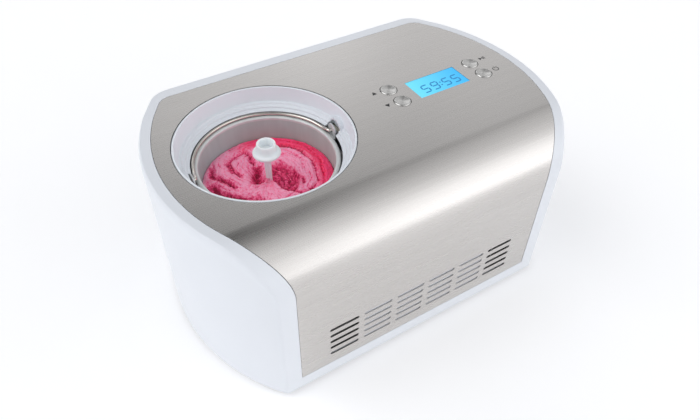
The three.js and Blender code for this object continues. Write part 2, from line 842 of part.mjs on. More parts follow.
function buildDrive() {
  const square = 4;
  const shaft = join([
    post(0, 0, SHAFT_RADIUS, GEARBOX_Z + 1, CHIMNEY_TOP, 16),
    post(0, 0, SHAFT_RADIUS + 2, LOWER_GEAR_Z + GEAR_THICK + GAP, LOWER_GEAR_Z + GEAR_THICK + 3, 16),
    box([-square, -square, CHIMNEY_TOP - 2], [square, square, SHAFT_TOP]),
  ]);
  const turnedShaft = shaft.rotate([0, 0, STIRRER_TURN]).translate([BOWL_X, BOWL_Y, 0]);
  add("drive_shaft", turnedShaft, steel());
  const output = gear(OUTPUT_TEETH, 0, LOWER_GEAR_Z, SHAFT_RADIUS + GAP);
  add("output_gear", output.translate([BOWL_X, BOWL_Y, 0]), nylon());

  const pinBore = 2.4;
  const idler = join([
    gear(PINION_TEETH, 0.5, LOWER_GEAR_Z, pinBore),
    prismZ(circle(5.6, 16), LOWER_GEAR_Z + GEAR_THICK - 0.1, UPPER_GEAR_Z + 0.1, [
      circle(pinBore, 12).reverse(),
    ]),
    gear(IDLER_TEETH, 0, UPPER_GEAR_Z, pinBore),
  ]);
  add("idler_gear", idler.translate([IDLER_X, BOWL_Y, 0]), nylon());
  const pin = post(IDLER_X, BOWL_Y, 2, GEARBOX_Z + 1, COVER_Z + COVER_THICK - 0.8, 12);
  add("idler_pin", pin, steel());

  const pinion = gear(PINION_TEETH, 0.5, UPPER_GEAR_Z, 2.3);
  add("motor_pinion", pinion.translate([MOTOR_X, BOWL_Y, 0]), nylon());
}

const CASE_REACH = 34; // gearbox half width
function gearboxOutline(grow) {
  return [
    ...arc(BOWL_X, BOWL_Y, CASE_REACH + grow, 90, 270, 10),
    ...arc(MOTOR_X, BOWL_Y, CASE_REACH - 10 + grow, -90, 90, 10),
  ];
}

function buildGearbox() {
  const tub = prismZ(gearboxOutline(0), GEARBOX_Z, COVER_Z - GAP);
  const inside = prismZ(gearboxOutline(-1.6), GEARBOX_Z + 2, COVER_Z + 5);
  const seats = [
    post(BOWL_X, BOWL_Y, SHAFT_RADIUS + GAP, GEARBOX_Z + 0.6, COVER_Z, 16),
    post(IDLER_X, BOWL_Y, 2 + GAP, GEARBOX_Z + 0.6, COVER_Z, 12),
  ];
  add("gearbox_case", cut(tub.subtract(inside), seats), grey());

  const neckTop = HEIGHT - 128.6;
  const plate = prismZ(gearboxOutline(0), COVER_Z, COVER_Z + COVER_THICK);
  const neck = post(BOWL_X, BOWL_Y, 11, COVER_Z + 1, neckTop, 16);
  const holes = [
    post(BOWL_X, BOWL_Y, 8.2, COVER_Z - 1, HEIGHT, 16),
    post(IDLER_X, BOWL_Y, 2 + GAP, COVER_Z - 1, COVER_Z + COVER_THICK + 1, 12),
    post(MOTOR_X, BOWL_Y, 9, COVER_Z - 1, COVER_Z + COVER_THICK + 1, 16),
  ];
  add("gearbox_cover", cut(plate.add(neck), holes), grey());

  for (const [name, low, high] of [
    ["shaft_bush_lower", COVER_Z + 1, COVER_Z + 13],
    ["shaft_bush_upper", neckTop - 12, neckTop - 1],
  ]) {
    const ring = prismZ(circle(7.9, 16), low, high, [circle(SHAFT_RADIUS + GAP, 16).reverse()]);
    add(name, ring.translate([BOWL_X, BOWL_Y, 0]), finish(0xb08d4a, 0.5, 1));
  }
  const seal = closed([
    [SHAFT_RADIUS + GAP, HEIGHT - 128.2],
    [11.6, HEIGHT - 128.2],
    [11.6, HEIGHT - 126.3],
    [6.8, HEIGHT - 126.3],
    [6.6, HEIGHT - 124.6],
    [SHAFT_RADIUS + GAP, HEIGHT - 124.6],
  ]);
  add("shaft_seal", turned(seal, 16, BOWL_X, BOWL_Y), rubber());
}

function buildMotor() {
  const low = COVER_Z + COVER_THICK + GAP;
  const high = low + MOTOR_HEIGHT;
  const can = closed([
    [3, low],
    [MOTOR_RADIUS, low],
    [MOTOR_RADIUS, high - 1.5],
    [MOTOR_RADIUS - 1.5, high],
    [3, high],
    [3, high - 2],
    [MOTOR_RADIUS - 6, high - 2],
    [MOTOR_RADIUS - 6, low + 2],
    [3, low + 2],
  ]);
  add("stir_motor", turned(can, 20, MOTOR_X, BOWL_Y), zinc());
  const rotor = join([
    post(MOTOR_X, BOWL_Y, 2, UPPER_GEAR_Z - 0.5, high + 2, 10),
    post(MOTOR_X, BOWL_Y, MOTOR_RADIUS - 7, low + 4, high - 4, 16),
  ]);
  add("motor_rotor", rotor, zinc());
}

// ---- Refrigeration ---------------------------------------------------------

function compressorFeet() {
  return [90, 210, 330].map((degrees) => {
    const angle = THREE.MathUtils.degToRad(degrees);
    return [COMPRESSOR_X + 42 * Math.cos(angle), COMPRESSOR_Y + 42 * Math.sin(angle)];
  });
}

function buildCompressor() {
  const top = COMPRESSOR_Z + COMPRESSOR_HEIGHT;
  const can = [
    [0, COMPRESSOR_Z + 12],
    [30, COMPRESSOR_Z + 12.5],
    [COMPRESSOR_RADIUS - 7, COMPRESSOR_Z + 20],
    [COMPRESSOR_RADIUS - 3, COMPRESSOR_Z + 32],
    [COMPRESSOR_RADIUS - 3, COMPRESSOR_Z + 64],
    [COMPRESSOR_RADIUS, COMPRESSOR_Z + 65],
    [COMPRESSOR_RADIUS, COMPRESSOR_Z + 69],
    [COMPRESSOR_RADIUS - 3, COMPRESSOR_Z + 70],
    [COMPRESSOR_RADIUS - 4, top - 26],
    [COMPRESSOR_RADIUS - 12, top - 10],
    [22, top - 1],
    [0, top],
  ];
  const foot = post(COMPRESSOR_X, COMPRESSOR_Y, 50, COMPRESSOR_Z, COMPRESSOR_Z + 2.5, 6);
  const pillar = post(COMPRESSOR_X, COMPRESSOR_Y, 26, COMPRESSOR_Z + 1, COMPRESSOR_Z + 16, 12);
  const holes = compressorFeet().map(([x, y]) =>
    post(x, y, 5.6, COMPRESSOR_Z - 5, COMPRESSOR_Z + 5, 10),
  );
  const body = join([turned(can, 24, COMPRESSOR_X, COMPRESSOR_Y), cut(foot, holes), pillar]);
  add("compressor", body, black());
  compressorFeet().forEach(([x, y], i) => {
    const grommet = closed([
      [3.8, DECK_Z + GAP],
      [8, DECK_Z + GAP],
      [8, COMPRESSOR_Z - GAP],
      [5.3, COMPRESSOR_Z - GAP],
      [5.3, COMPRESSOR_Z + 2.8],
      [3.8, COMPRESSOR_Z + 2.8],
    ]);
    add(`compressor_grommet_${i + 1}`, turned(grommet, 10, x, y), rubber());
  });
}

function buildCondenser() {
  const low = CONDENSER_X - CONDENSER_WIDTH / 2;
  const high = low + CONDENSER_WIDTH;
  const top = CONDENSER_Z + CONDENSER_HEIGHT;
  const back = CONDENSER_Y + CONDENSER_DEPTH;
  const fins = Array.from({ length: 9 }, (_, i) => {
    const x = low + (i / 8) * (CONDENSER_WIDTH - 1.6);
    return box([x, CONDENSER_Y, CONDENSER_Z], [x + 1.6, back, top]);
  });
  const tubes = Array.from({ length: 4 }, (_, i) => {
    const z = CONDENSER_Z + (i / 3) * (CONDENSER_HEIGHT - 3);
    return box([low + 0.5, CONDENSER_Y + 1, z], [high - 0.5, back - 1, z + 3]);
  });
  add("condenser_core", join([...fins, ...tubes]), aluminium());
}

function buildFan() {
  const reach = FAN_RADIUS + 4;
  const frameDepth = 20;
  const outline = [
    [CONDENSER_X - reach, FAN_Z - reach],
    [CONDENSER_X + reach, FAN_Z - reach],
    [CONDENSER_X + reach, FAN_Z + reach],
    [CONDENSER_X - reach, FAN_Z + reach],
  ].map(([x, z]) => [x, Math.max(z, DECK_Z + GAP)]);
  const mouth = circle(FAN_RADIUS, 28, CONDENSER_X, FAN_Z).reverse();
  const back = FAN_Y + frameDepth;
  const front = back - 3;
  const span = FAN_RADIUS + 1;
  const struts = join([
    box([CONDENSER_X - span, front, FAN_Z - 3], [CONDENSER_X + span, back, FAN_Z + 3]),
    box([CONDENSER_X - 3, front, FAN_Z - span], [CONDENSER_X + 3, back, FAN_Z + span]),
    barrel(CONDENSER_X, FAN_Z, 17, front, back, 16),
  ]).subtract(barrel(CONDENSER_X, FAN_Z, 2.6, back - 6, back + 6, 12));
  add("fan_frame", prismY(outline, FAN_Y, back, [mouth]).add(struts), black());

  const motor = barrel(CONDENSER_X, FAN_Z, 15, back + GAP, back + 22, 16);
  const shaftHole = barrel(CONDENSER_X, FAN_Z, 2.6, back - 1, back + 14, 12);
  add("fan_motor", motor.subtract(shaftHole), zinc());

  const hub = barrel(CONDENSER_X, FAN_Z, 14, FAN_Y + 2, back - 4, 16);
  const shaft = barrel(CONDENSER_X, FAN_Z, 2, FAN_Y + 4, back + 12, 10);
  const blades = Array.from({ length: 5 }, (_, i) => {
    const blade = new THREE.BoxGeometry(FAN_RADIUS - 13, 1.6, 17);
    blade.rotateX(THREE.MathUtils.degToRad(32));
    blade.translate((FAN_RADIUS + 10) / 2, 0, 0);
    blade.rotateY((i * 2 * Math.PI) / 5);
    blade.translate(CONDENSER_X, FAN_Y + 9, FAN_Z);
    return solid(blade);
  });
  add("fan_impeller", join([hub, shaft, ...blades]), grey());
}

const DRIER_X = 12;
const DRIER_Y = 96;
function buildPipes() {
  const drier = [
    [0, 24],
    [2.6, 24],
    [2.6, 30],
    [8, 36],
    [8, 78],
    [2.6, 84],
    [2.6, 90],
    [0, 90],
  ];
  add("filter_drier", turned(drier, 14, DRIER_X, DRIER_Y), copper());

  const compressorTop = COMPRESSOR_Z + COMPRESSOR_HEIGHT;
  const condenserEnd = CONDENSER_X + CONDENSER_WIDTH / 2;
  const condenserLow = CONDENSER_X - CONDENSER_WIDTH / 2;
  const midDepth = CONDENSER_Y + CONDENSER_DEPTH / 2;
  const topZ = CONDENSER_Z + CONDENSER_HEIGHT - 8;
  add(
    "discharge_pipe",
    pipe(
      [
        [COMPRESSOR_X + 14, COMPRESSOR_Y - 20, compressorTop],
        [COMPRESSOR_X + 14, COMPRESSOR_Y - 21, compressorTop + 6],
        [COMPRESSOR_X + 17, COMPRESSOR_Y - 40, compressorTop + 7],
        [COMPRESSOR_X + 18, COMPRESSOR_Y - 62, compressorTop - 6],
        [COMPRESSOR_X + 16, COMPRESSOR_Y - 100, topZ + 20],
        [COMPRESSOR_X + 14, midDepth + 12, topZ + 4],
        [condenserEnd + 14, midDepth, topZ],
        [condenserEnd + GAP, midDepth, topZ],
      ],
      2.5,
      24,
    ),
    copper(),
  );
  add(
    "liquid_pipe",
    pipe(
      [
        [condenserLow - GAP, midDepth, CONDENSER_Z + 10],
        [condenserLow - 10, midDepth, CONDENSER_Z + 9],
        [condenserLow - 14, midDepth + 12, CONDENSER_Z + 6],
        [condenserLow + 4, -84, 16],
        [condenserLow + 20, -40, 14],
        [condenserLow + 26, 30, 14],
        [DRIER_X + 2, DRIER_Y - 26, 13.5],
        [DRIER_X, DRIER_Y - 6, 14],
        [DRIER_X, DRIER_Y, 18],
        [DRIER_X, DRIER_Y, 24 - GAP],
      ],
      2.5,
      24,
    ),
    copper(),
  );
  const coilAt = (degrees, z) => {
    const angle = THREE.MathUtils.degToRad(degrees);
    return [BOWL_X + COIL_RADIUS * Math.cos(angle), BOWL_Y + COIL_RADIUS * Math.sin(angle), z];
  };
  const [startX, startY] = coilAt(80, 0);
  add(
    "capillary_tube",
    pipe(
      [
        [DRIER_X, DRIER_Y, 90 + GAP],
        [DRIER_X, DRIER_Y, 100],
        [DRIER_X - 14, DRIER_Y + 10, 108],
        [DRIER_X - 34, DRIER_Y + 14, 96],
        [startX + 44, startY + 18, 78],
        [startX + 22, startY + 3, COIL_LOW + 1],
        [startX + 8, startY - 0.6, COIL_LOW],
        [startX + 0.6, startY, COIL_LOW],
      ],
      1.6,
      24,
    ),
    copper(),
  );
  const outletZ = COIL_LOW + COIL_PITCH * COIL_TURNS;
  add(
    "suction_pipe",
    pipe(
      [
        [startX - 0.9, startY + 0.2, outletZ + 0.2],
        [startX - 10, startY + 2.2, outletZ + 2],
        [startX - 12, startY + 12, outletZ + 5],
        [startX + 4, startY + 26, outletZ + 6],
        [startX + 60, startY + 30, outletZ + 6],
        [startX + 120, startY + 24, outletZ + 8],
        [COMPRESSOR_X - 18, COMPRESSOR_Y + 30, compressorTop + 10],
        [COMPRESSOR_X - 14, COMPRESSOR_Y + 14, compressorTop + 9],
        [COMPRESSOR_X - 13, COMPRESSOR_Y + 10, compressorTop + 0.5],
      ],
      3,
      24,
    ),
    copper(),
  );
}

// ---- Controls and electrics ------------------------------------------------

function buildControls() {
  const stemTop = HEIGHT - 3;
  for (const [name, [x, y]] of Object.entries(BUTTONS)) {
    const cap = [
      [0, BOARD_Z + 6.2],
      [2.5, BOARD_Z + 6.2],
      [2.5, stemTop - 4],
      [BUTTON_RADIUS, stemTop - 4],
      [BUTTON_RADIUS, HEIGHT + 0.3],
      [BUTTON_RADIUS - 0.5, HEIGHT + 0.8],
      [0, HEIGHT + 0.5],
    ];
    add(name, turned(cap, 20, x, y), steel());
  }
  const board = box([36, -19, BOARD_Z - 1.6], [162, 26, BOARD_Z]);
  const switches = Object.values(BUTTONS).map(([x, y]) =>
    box([x - 3, y - 3, BOARD_Z - 0.5], [x + 3, y + 3, BOARD_Z + 5]),
  );
  const chip = box([92, -14, BOARD_Z - 4], [108, 2, BOARD_Z - 1]);
  add("control_board", join([board, chip, ...switches]), green());

  const reachX = LCD_WIDTH / 2;
  const reachY = LCD_DEPTH / 2;
  const window = box(
    [LCD_X - reachX + GAP, LCD_Y - reachY + GAP, HEIGHT - 2.4],
    [LCD_X + reachX - GAP, LCD_Y + reachY - GAP, HEIGHT - 0.2],
  );
  add("lcd_window", window, display());
  const module = box(
    [LCD_X - reachX + 1.5, LCD_Y - reachY + 1.5, BOARD_Z + GAP],
    [LCD_X + reachX - 1.5, LCD_Y + reachY - 1.5, HEIGHT - 2.4 - GAP],
  );
  add("lcd_module", module, black());
}

function buildElectrics() {
  const relaySide = COMPRESSOR_X - COMPRESSOR_RADIUS - 1;
  const relay = box(
    [relaySide - 18, COMPRESSOR_Y - 14, COMPRESSOR_Z + 30],
    [relaySide, COMPRESSOR_Y + 14, COMPRESSOR_Z + 62],
  );
  add("start_relay", relay, black());
  const capacitor = closed([
    [1.5, DECK_Z + GAP],
    [13, DECK_Z + GAP],
    [14, DECK_Z + 2],
    [14, 58],
    [13, 59],
    [1.5, 59],
  ]);
  add("run_capacitor", turned(capacitor, 16, 40, -28).add(post(40, -28, 4, 20, 64, 8)), white());

  const board = box([52, 108, 14], [100, 109.6, 74]);
  const parts = join([
    box([56, 90, 20], [76, 108.5, 44]),
    barrel(88, 30, 6, 94, 108.5, 10),
    box([80, 97, 48], [96, 108.5, 66]),
  ]);
  add("power_board", board.add(parts), green());

  const flange = prismY(
    [
      [INLET_X - 18, INLET_Z - 13.5],
      [INLET_X + 18, INLET_Z - 13.5],
      [INLET_X + 18, INLET_Z + 13.5],
      [INLET_X - 18, INLET_Z + 13.5],
    ],
    REAR_Y - WALL - GAP - 2,
    REAR_Y - WALL - GAP,
  );
  const body = box(
    [INLET_X - 13.8, REAR_Y - 26, INLET_Z - 10.3],
    [INLET_X + 13.8, REAR_Y - 0.4, INLET_Z + 10.3],
  );
  const socket = box(
    [INLET_X - 12, REAR_Y - 20, INLET_Z - 8.5],
    [INLET_X + 12, REAR_Y + 5, INLET_Z + 8.5],
  );
  const pins = [-7, 0, 7].map((x) =>
    box([INLET_X + x - 1, REAR_Y - 22, INLET_Z - 2], [INLET_X + x + 1, REAR_Y - 5, INLET_Z + 2]),
  );
  add("mains_inlet", join([cut(flange.add(body), [socket]), ...pins]), black());
}

buildShell();
buildSteelPanel();
buildBasePlate();
buildFeet();
buildCollar();
buildWell();
buildEvaporator();
buildBowl();
buildEar("bowl_ear_left", -1);
buildEar("bowl_ear_right", 1);
buildBail();
buildPaddle();
buildDrive();
buildGearbox();
buildMotor();
buildCompressor();
buildCondenser();
buildFan();
buildPipes();
buildControls();
buildElectrics();

export default iceCreamMaker;
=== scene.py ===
"""Looks of a compressor ice cream maker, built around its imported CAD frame.

Shapes are written in millimetres in the frame's own axes and made in metres:
+X runs towards the control end, -Y towards the vented front, +Z up.
"""

import json
import math

import bmesh
import bpy
from mathutils import Matrix, Vector, noise

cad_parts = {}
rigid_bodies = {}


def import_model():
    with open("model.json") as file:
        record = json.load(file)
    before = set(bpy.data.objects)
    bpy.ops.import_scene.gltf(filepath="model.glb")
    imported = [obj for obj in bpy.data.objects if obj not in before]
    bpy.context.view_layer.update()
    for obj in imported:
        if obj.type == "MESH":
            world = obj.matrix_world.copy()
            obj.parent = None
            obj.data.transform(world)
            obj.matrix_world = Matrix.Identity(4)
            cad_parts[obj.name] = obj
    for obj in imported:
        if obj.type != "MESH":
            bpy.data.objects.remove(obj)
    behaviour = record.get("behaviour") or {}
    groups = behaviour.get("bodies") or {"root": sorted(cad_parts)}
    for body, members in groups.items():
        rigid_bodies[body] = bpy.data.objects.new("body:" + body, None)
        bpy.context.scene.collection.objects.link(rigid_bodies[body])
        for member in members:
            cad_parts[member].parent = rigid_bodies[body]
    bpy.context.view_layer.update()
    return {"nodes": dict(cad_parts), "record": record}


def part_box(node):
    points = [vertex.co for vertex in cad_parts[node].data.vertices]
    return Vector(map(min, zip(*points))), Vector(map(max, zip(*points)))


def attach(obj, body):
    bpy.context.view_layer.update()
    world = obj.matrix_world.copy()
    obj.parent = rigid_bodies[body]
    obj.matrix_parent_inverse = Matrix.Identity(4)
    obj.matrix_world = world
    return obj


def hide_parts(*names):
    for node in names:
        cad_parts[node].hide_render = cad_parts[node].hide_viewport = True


MM = 0.001

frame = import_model()


def box_mm(node):
    """Lowest and highest corner of a CAD node, in millimetres."""
    low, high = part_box(node)
    return low / MM, high / MM


def middle(node):
    """Middle of a CAD node's box, in millimetres."""
    low, high = box_mm(node)
    return (low + high) / 2


# ---- Driving sizes, from the frame where it holds them -----------------------

SHELL_LOW, SHELL_HIGH = box_mm("shell")
PANEL_LOW, _ = box_mm("steel_panel")
TOP = SHELL_HIGH.z
FOOT_HEIGHT = SHELL_LOW.z
FRONT_Y, REAR_Y = SHELL_LOW.y, SHELL_HIGH.y
BOWL_X, BOWL_Y = middle("bowl").xy

END_RADIUS = 197.7  # plan radius of the bowed end walls
END_CENTRE = 2.3  # distance of that radius's centre from the middle of the casing
SHOULDER = 50.0  # radius from the flat top into the front
WALL = 3.2
FRONT_CORNER = 5.0
REAR_CORNER = 27.0
RIM_INSET = 3.5  # the soft top edge, inwards and downwards
RIM_DROP = 8.0
SEAM_SIDE = 11.6  # end wall to the steel panel's edge
SEAM_REAR = 14.8
SEAM_CORNER = 17.0
SEAM_GAP = 0.45
PANEL_SEAT = 1.4
PANEL_THICK = 1.0
GROOVE_WIDTH, GROOVE_DEPTH = 0.9, 1.2  # shadow groove in the seat, along the panel's edge
PANEL_FOOT = PANEL_LOW.z - SEAM_GAP  # lower edge of the panel's seat

OPENING_RADIUS = 83.4  # hole in the steel panel
BOWL_WALL_IN, BOWL_WALL_OUT = 63.5, 64.0  # radii between the bowl's inner and outer wall
BOWL_RIM_LOW, BOWL_RIM_HIGH = 28.0, 26.5  # depths where the bowl's wall turns into its rim
PIVOT_Y = 3.0  # bail pivot, from the bowl's axis
PIVOT_DEPTH = 21.0
NOTCH_RADIUS = 9.5  # arch of the collar's pocket round a bowl ear
EAR_RADIUS = 6.5
WIRE_RADIUS = 1.5
BLADE_TURN = math.radians(35)

VENT_COLUMNS, VENT_ROWS = 6, 5
VENT_LENGTH, VENT_HEIGHT = 30.5, 3.5
LEDGE_DROP = 0.2  # slot middle to the casing's ledge behind it
VENT_PITCH_X, VENT_PITCH_Z = 36.4, 9.1
VENT_MIDDLE_X = 1.1
VENT_LOW_Z = FOOT_HEIGHT + 30.3
REAR_SLOTS = 7
REAR_SLOT_X, REAR_SLOT_LOW_Z, REAR_SLOT_PITCH = 110, 60, 10
REAR_SLOT_LENGTH, REAR_SLOT_HEIGHT = 70, 4
INLET_REACH_X, INLET_REACH_Z = 14.3, 10.8  # half sizes of the casing's hole for the mains inlet

BUTTONS = ("up", "down", "start", "power")
BUTTON_RADIUS = 8.4
HOLE_GAP = 1.2  # from a button or the panel's opening to the casing's own hole under it
OVERCUT = 5.0  # how far a cutting shape runs past what it cuts

# The camera's place, its turns in degrees and its focal length.
CAMERA_PLACE = Vector((-260.5, -403.9, 537.0)) * MM
AZIMUTH, ELEVATION, ROLL = (math.radians(x) for x in (-32.37, 44.884, 0.989))
LENS = 32.03


# ---- Camera -------------------------------------------------------------------


def make_camera():
    """The camera, turned by its azimuth and elevation and then rolled."""
    flat = math.cos(ELEVATION)
    back = Vector((math.sin(AZIMUTH) * flat, -math.cos(AZIMUTH) * flat, math.sin(ELEVATION)))
    right = Vector((0, 0, 1)).cross(back).normalized()
    up = back.cross(right)
    rolled_right = math.cos(ROLL) * right + math.sin(ROLL) * up
    rolled_up = math.cos(ROLL) * up - math.sin(ROLL) * right
    camera = bpy.data.objects.new("camera", bpy.data.cameras.new("camera"))
    camera.data.lens = LENS
    camera.matrix_world = Matrix.Translation(CAMERA_PLACE) @ Matrix(
        (rolled_right, rolled_up, back)
    ).transposed().to_4x4()
    bpy.context.scene.collection.objects.link(camera)
    bpy.context.scene.camera = camera


# ---- Shapes: (points, faces) in millimetres -----------------------------------


def together(*shapes):
    """Several shapes as one."""
    points, faces = [], []
    for more_points, more_faces in shapes:
        start = len(points)
        points += more_points
        faces += [[start + i for i in face] for face in more_faces]
    return points, faces


def loft(rings, capped=True):
    """A skin through rings that have the same number of points."""
    count = len(rings[0])
    points = [point for ring in rings for point in ring]
    faces = []
    for k in range(len(rings) - 1):
        for i in range(count):
            j = (i + 1) % count
            faces.append([k * count + i, k * count + j, (k + 1) * count + j, (k + 1) * count + i])
    if capped:
        faces.append(list(range(count))[::-1])
        faces.append(list(range(len(points) - count, len(points))))
    return points, faces


def upright(u, v, w):
    return (u, v, w)


def along_x(u, v, w):
    return (w, u, v)


def along_y(u, v, w):
    return (u, w, v)


def prism(outline, low, high, place=upright):
    """An outline of (u, v) pairs raised from low to high, put into space by place."""
    return loft([[place(u, v, w) for u, v in outline] for w in (low, high)])


def block(low, high):
    outline = [(low[0], low[1]), (high[0], low[1]), (high[0], high[1]), (low[0], high[1])]
    return prism(outline, low[2], high[2])


def lathe(profile, sides, centre=(0, 0), closed=False):
    """A profile of (radius, height) pairs turned about an upright axis."""
    turns = [2 * math.pi * i / sides for i in range(sides)]
    x, y = centre
    rings = [[(x + r * math.cos(t), y + r * math.sin(t), z) for t in turns] for r, z in profile]
    if closed:
        rings.append(rings[0])
    return loft(rings, capped=False)


def arc(x, y, radius, start, end, steps):
    """Points on an arc, from one angle to another in degrees."""
    turns = [math.radians(start + (end - start) * i / steps) for i in range(steps + 1)]
    return [(x + radius * math.cos(t), y + radius * math.sin(t)) for t in turns]


def circle(radius, sides, x=0, y=0):
    return arc(x, y, radius, 0, 360, sides)[:-1]


def sweep(route, radius, sides):
    """A round bar along a route of close points, narrower at its two ends."""
    path = [Vector(point) for point in route]
    along = (path[1] - path[0]).normalized()
    side = along.orthogonal().normalized()
    rings = []
    for i, point in enumerate(path):
        ahead = (path[min(i + 1, len(path) - 1)] - path[max(i - 1, 0)]).normalized()
        side = (side - ahead * side.dot(ahead)).normalized()
        other = ahead.cross(side)
        size = radius * (0.7 if i in (0, len(path) - 1) else 1.0)
        rings.append([point + size * (math.cos(t) * side + math.sin(t) * other)
                      for t in (2 * math.pi * k / sides for k in range(sides))])
    return loft(rings)


def curve_points(points, steps):
    """Points along a smooth curve through the given ones."""
    ends = [points[0], *points, points[-1]]
    found = []
    for a, b, c, d in zip(ends, ends[1:], ends[2:], ends[3:]):
        a, b, c, d = (Vector(p) for p in (a, b, c, d))
        for i in range(steps):
            t = i / steps
            found.append(0.5 * (2 * b + (c - a) * t + (2 * a - 5 * b + 4 * c - d) * t ** 2
                                + (3 * b - a - 3 * c + d) * t ** 3))
    return [*found, Vector(points[-1])]


def below_top(profile):
    """A profile of (radius, depth below the flat top) as (radius, height)."""
    return [(radius, TOP - depth) for radius, depth in profile]


# ---- Pieces --------------------------------------------------------------------


WELD = 1e-6  # metres within which points are merged


def mesh_of(name, shape):
    """A clean mesh from a shape, with its faces turned outwards."""
    points, faces = shape
    mesh = bpy.data.meshes.new(name)
    mesh.from_pydata([Vector(point) * MM for point in points], [], faces)
    work = bmesh.new()
    work.from_mesh(mesh)
    bmesh.ops.remove_doubles(work, verts=work.verts, dist=WELD)
    bmesh.ops.dissolve_degenerate(work, dist=WELD, edges=work.edges)
    bmesh.ops.recalc_face_normals(work, faces=work.faces)
    work.to_mesh(mesh)
    work.free()
    return mesh


def bake_modifiers(piece):
    """Applies a piece's modifiers to its mesh."""
    graph = bpy.context.evaluated_depsgraph_get()
    mesh = bpy.data.meshes.new_from_object(piece.evaluated_get(graph))
    piece.modifiers.clear()
    piece.data = mesh


def new_object(name, shape):
    """A new object in the scene."""
    made = bpy.data.objects.new(name, mesh_of(name, shape))
    bpy.context.scene.collection.objects.link(made)
    return made


def carve(piece, shape, operation="DIFFERENCE"):
    """Cuts a shape out of a piece, or joins or intersects the two."""
    carve_with(piece, new_object("tool", shape), operation)


def carve_with(piece, tool, operation="DIFFERENCE"):
    """Does the same with another object, which is then removed."""
    modifier = piece.modifiers.new("carve", "BOOLEAN")
    modifier.object = tool
    modifier.operation = operation
    modifier.solver = "EXACT"
    bake_modifiers(piece)
    bpy.data.objects.remove(tool)


def round_edges(piece, width, angle):
    """Rounds edges above an angle by a width in millimetres."""
    edges = piece.modifiers.new("edges", "BEVEL")
    edges.width = width * MM
    edges.segments = 2
    edges.limit_method = "ANGLE"
    edges.angle_limit = math.radians(angle)
    return edges


def shade(piece, angle=30, bevel=0.0):
    """Smooth faces with crisp edges above an angle, rounded by a bevel in millimetres."""
    mesh = piece.data
    mesh.polygons.foreach_set("use_smooth", [True] * len(mesh.polygons))
    mesh.set_sharp_from_angle(angle=math.radians(angle))
    if bevel:
        round_edges(piece, bevel, angle).harden_normals = True


def make(name, shape, body, material, replaces=()):
    """A named piece that rides on a body and stands for some CAD nodes."""
    piece = new_object(name, shape)
    piece.data.materials.append(material)
    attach(piece, body)
    if replaces:
        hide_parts(*replaces)
    return piece


# ---- Materials -------------------------------------------------------------------


class Finish:
    """A procedural material around one Principled shader."""

    def __init__(self, name, colour, roughness, metallic=0.0, **settings):
        self.material = bpy.data.materials.new(name)
        self.material.use_nodes = True
        self.tree = self.material.node_tree
        self.shader = self.tree.nodes["Principled BSDF"]
        self.colour = (*colour, 1)
        self.roughness = roughness
        self.shader.inputs["Base Color"].default_value = self.colour
        self.shader.inputs["Roughness"].default_value = roughness
        self.shader.inputs["Metallic"].default_value = metallic
        for key, value in settings.items():
            self.shader.inputs[key.replace("_", " ")].default_value = value

    def node(self, kind, inputs=(), **settings):
        made = self.tree.nodes.new(kind)
        for key, value in settings.items():
            setattr(made, key, value)
        for key, value in dict(inputs).items():
            if isinstance(value, bpy.types.NodeSocket):
                self.link(value, made.inputs[key])
            else:
                made.inputs[key].default_value = value
        return made

    def link(self, output, target):
        self.tree.links.new(output, target)

    def noise(self, scale, stretch=(1, 1, 1), detail=3.0, rough=0.5):
        """Noise in the piece's own metres, drawn out by stretch."""
        place = self.node("ShaderNodeTexCoord").outputs["Object"]
        mapping = self.node("ShaderNodeMapping", {"Vector": place, "Scale": stretch})
        texture = self.node("ShaderNodeTexNoise", {
            "Vector": mapping.outputs["Vector"], "Scale": scale, "Detail": detail, "Roughness": rough,
        })
        return texture.outputs["Fac"]

    def spread(self, value, low, high, start=0.3, end=0.7):
        """Maps a noise value between start and end onto low to high."""
        ranged = self.node("ShaderNodeMapRange", {
            "Value": value, "From Min": start, "From Max": end, "To Min": low, "To Max": high,
        })
        return ranged.outputs["Result"]

    def blend(self, amount, first, second):
        """One colour mixed into another; each is a colour or a socket."""
        mixed = self.node("ShaderNodeMix", {"Factor": amount}, data_type="RGBA")
        sockets = [socket for socket in mixed.inputs if socket.type == "RGBA"]
        for socket, colour in zip(sockets, (first, second)):
            if isinstance(colour, bpy.types.NodeSocket):
                self.link(colour, socket)
            else:
                socket.default_value = (*colour, 1)
        return [socket for socket in mixed.outputs if socket.type == "RGBA"][0]

    def rings(self, scale, distortion, detail):
        """Rings round the piece's upright axis, with the shader's tangent turned along them."""
        place = self.node("ShaderNodeTexCoord").outputs["Generated"]
        centred = self.node("ShaderNodeMapping", {"Vector": place, "Location": (-0.5, -0.5, -0.5)})
        wave = self.node("ShaderNodeTexWave", {
            "Vector": centred.outputs["Vector"], "Scale": scale, "Distortion": distortion, "Detail": detail,
        }, wave_type="RINGS", rings_direction="Z")
        tangent = self.node("ShaderNodeTangent", direction_type="RADIAL", axis="Z")
        self.link(tangent.outputs["Tangent"], self.shader.inputs["Tangent"])
        return wave.outputs["Fac"]

    def vary_colour(self, value, other, share=1.0):
        """Mixes the colour towards another one by a value from 0 to 1."""
        mixed = self.blend(self.spread(value, 0.0, share), self.colour[:3], other)
        self.link(mixed, self.shader.inputs["Base Color"])

    def vary_roughness(self, value, reach):
        target = self.shader.inputs["Roughness"]
        self.link(self.spread(value, self.roughness - reach, self.roughness + reach), target)

    def bump(self, value, height, strength=1.0):
        """Relief of a height in millimetres."""
        relief = self.node("ShaderNodeBump", {
            "Height": value, "Distance": height * MM, "Strength": strength,
        })
        self.link(relief.outputs["Normal"], self.shader.inputs["Normal"])


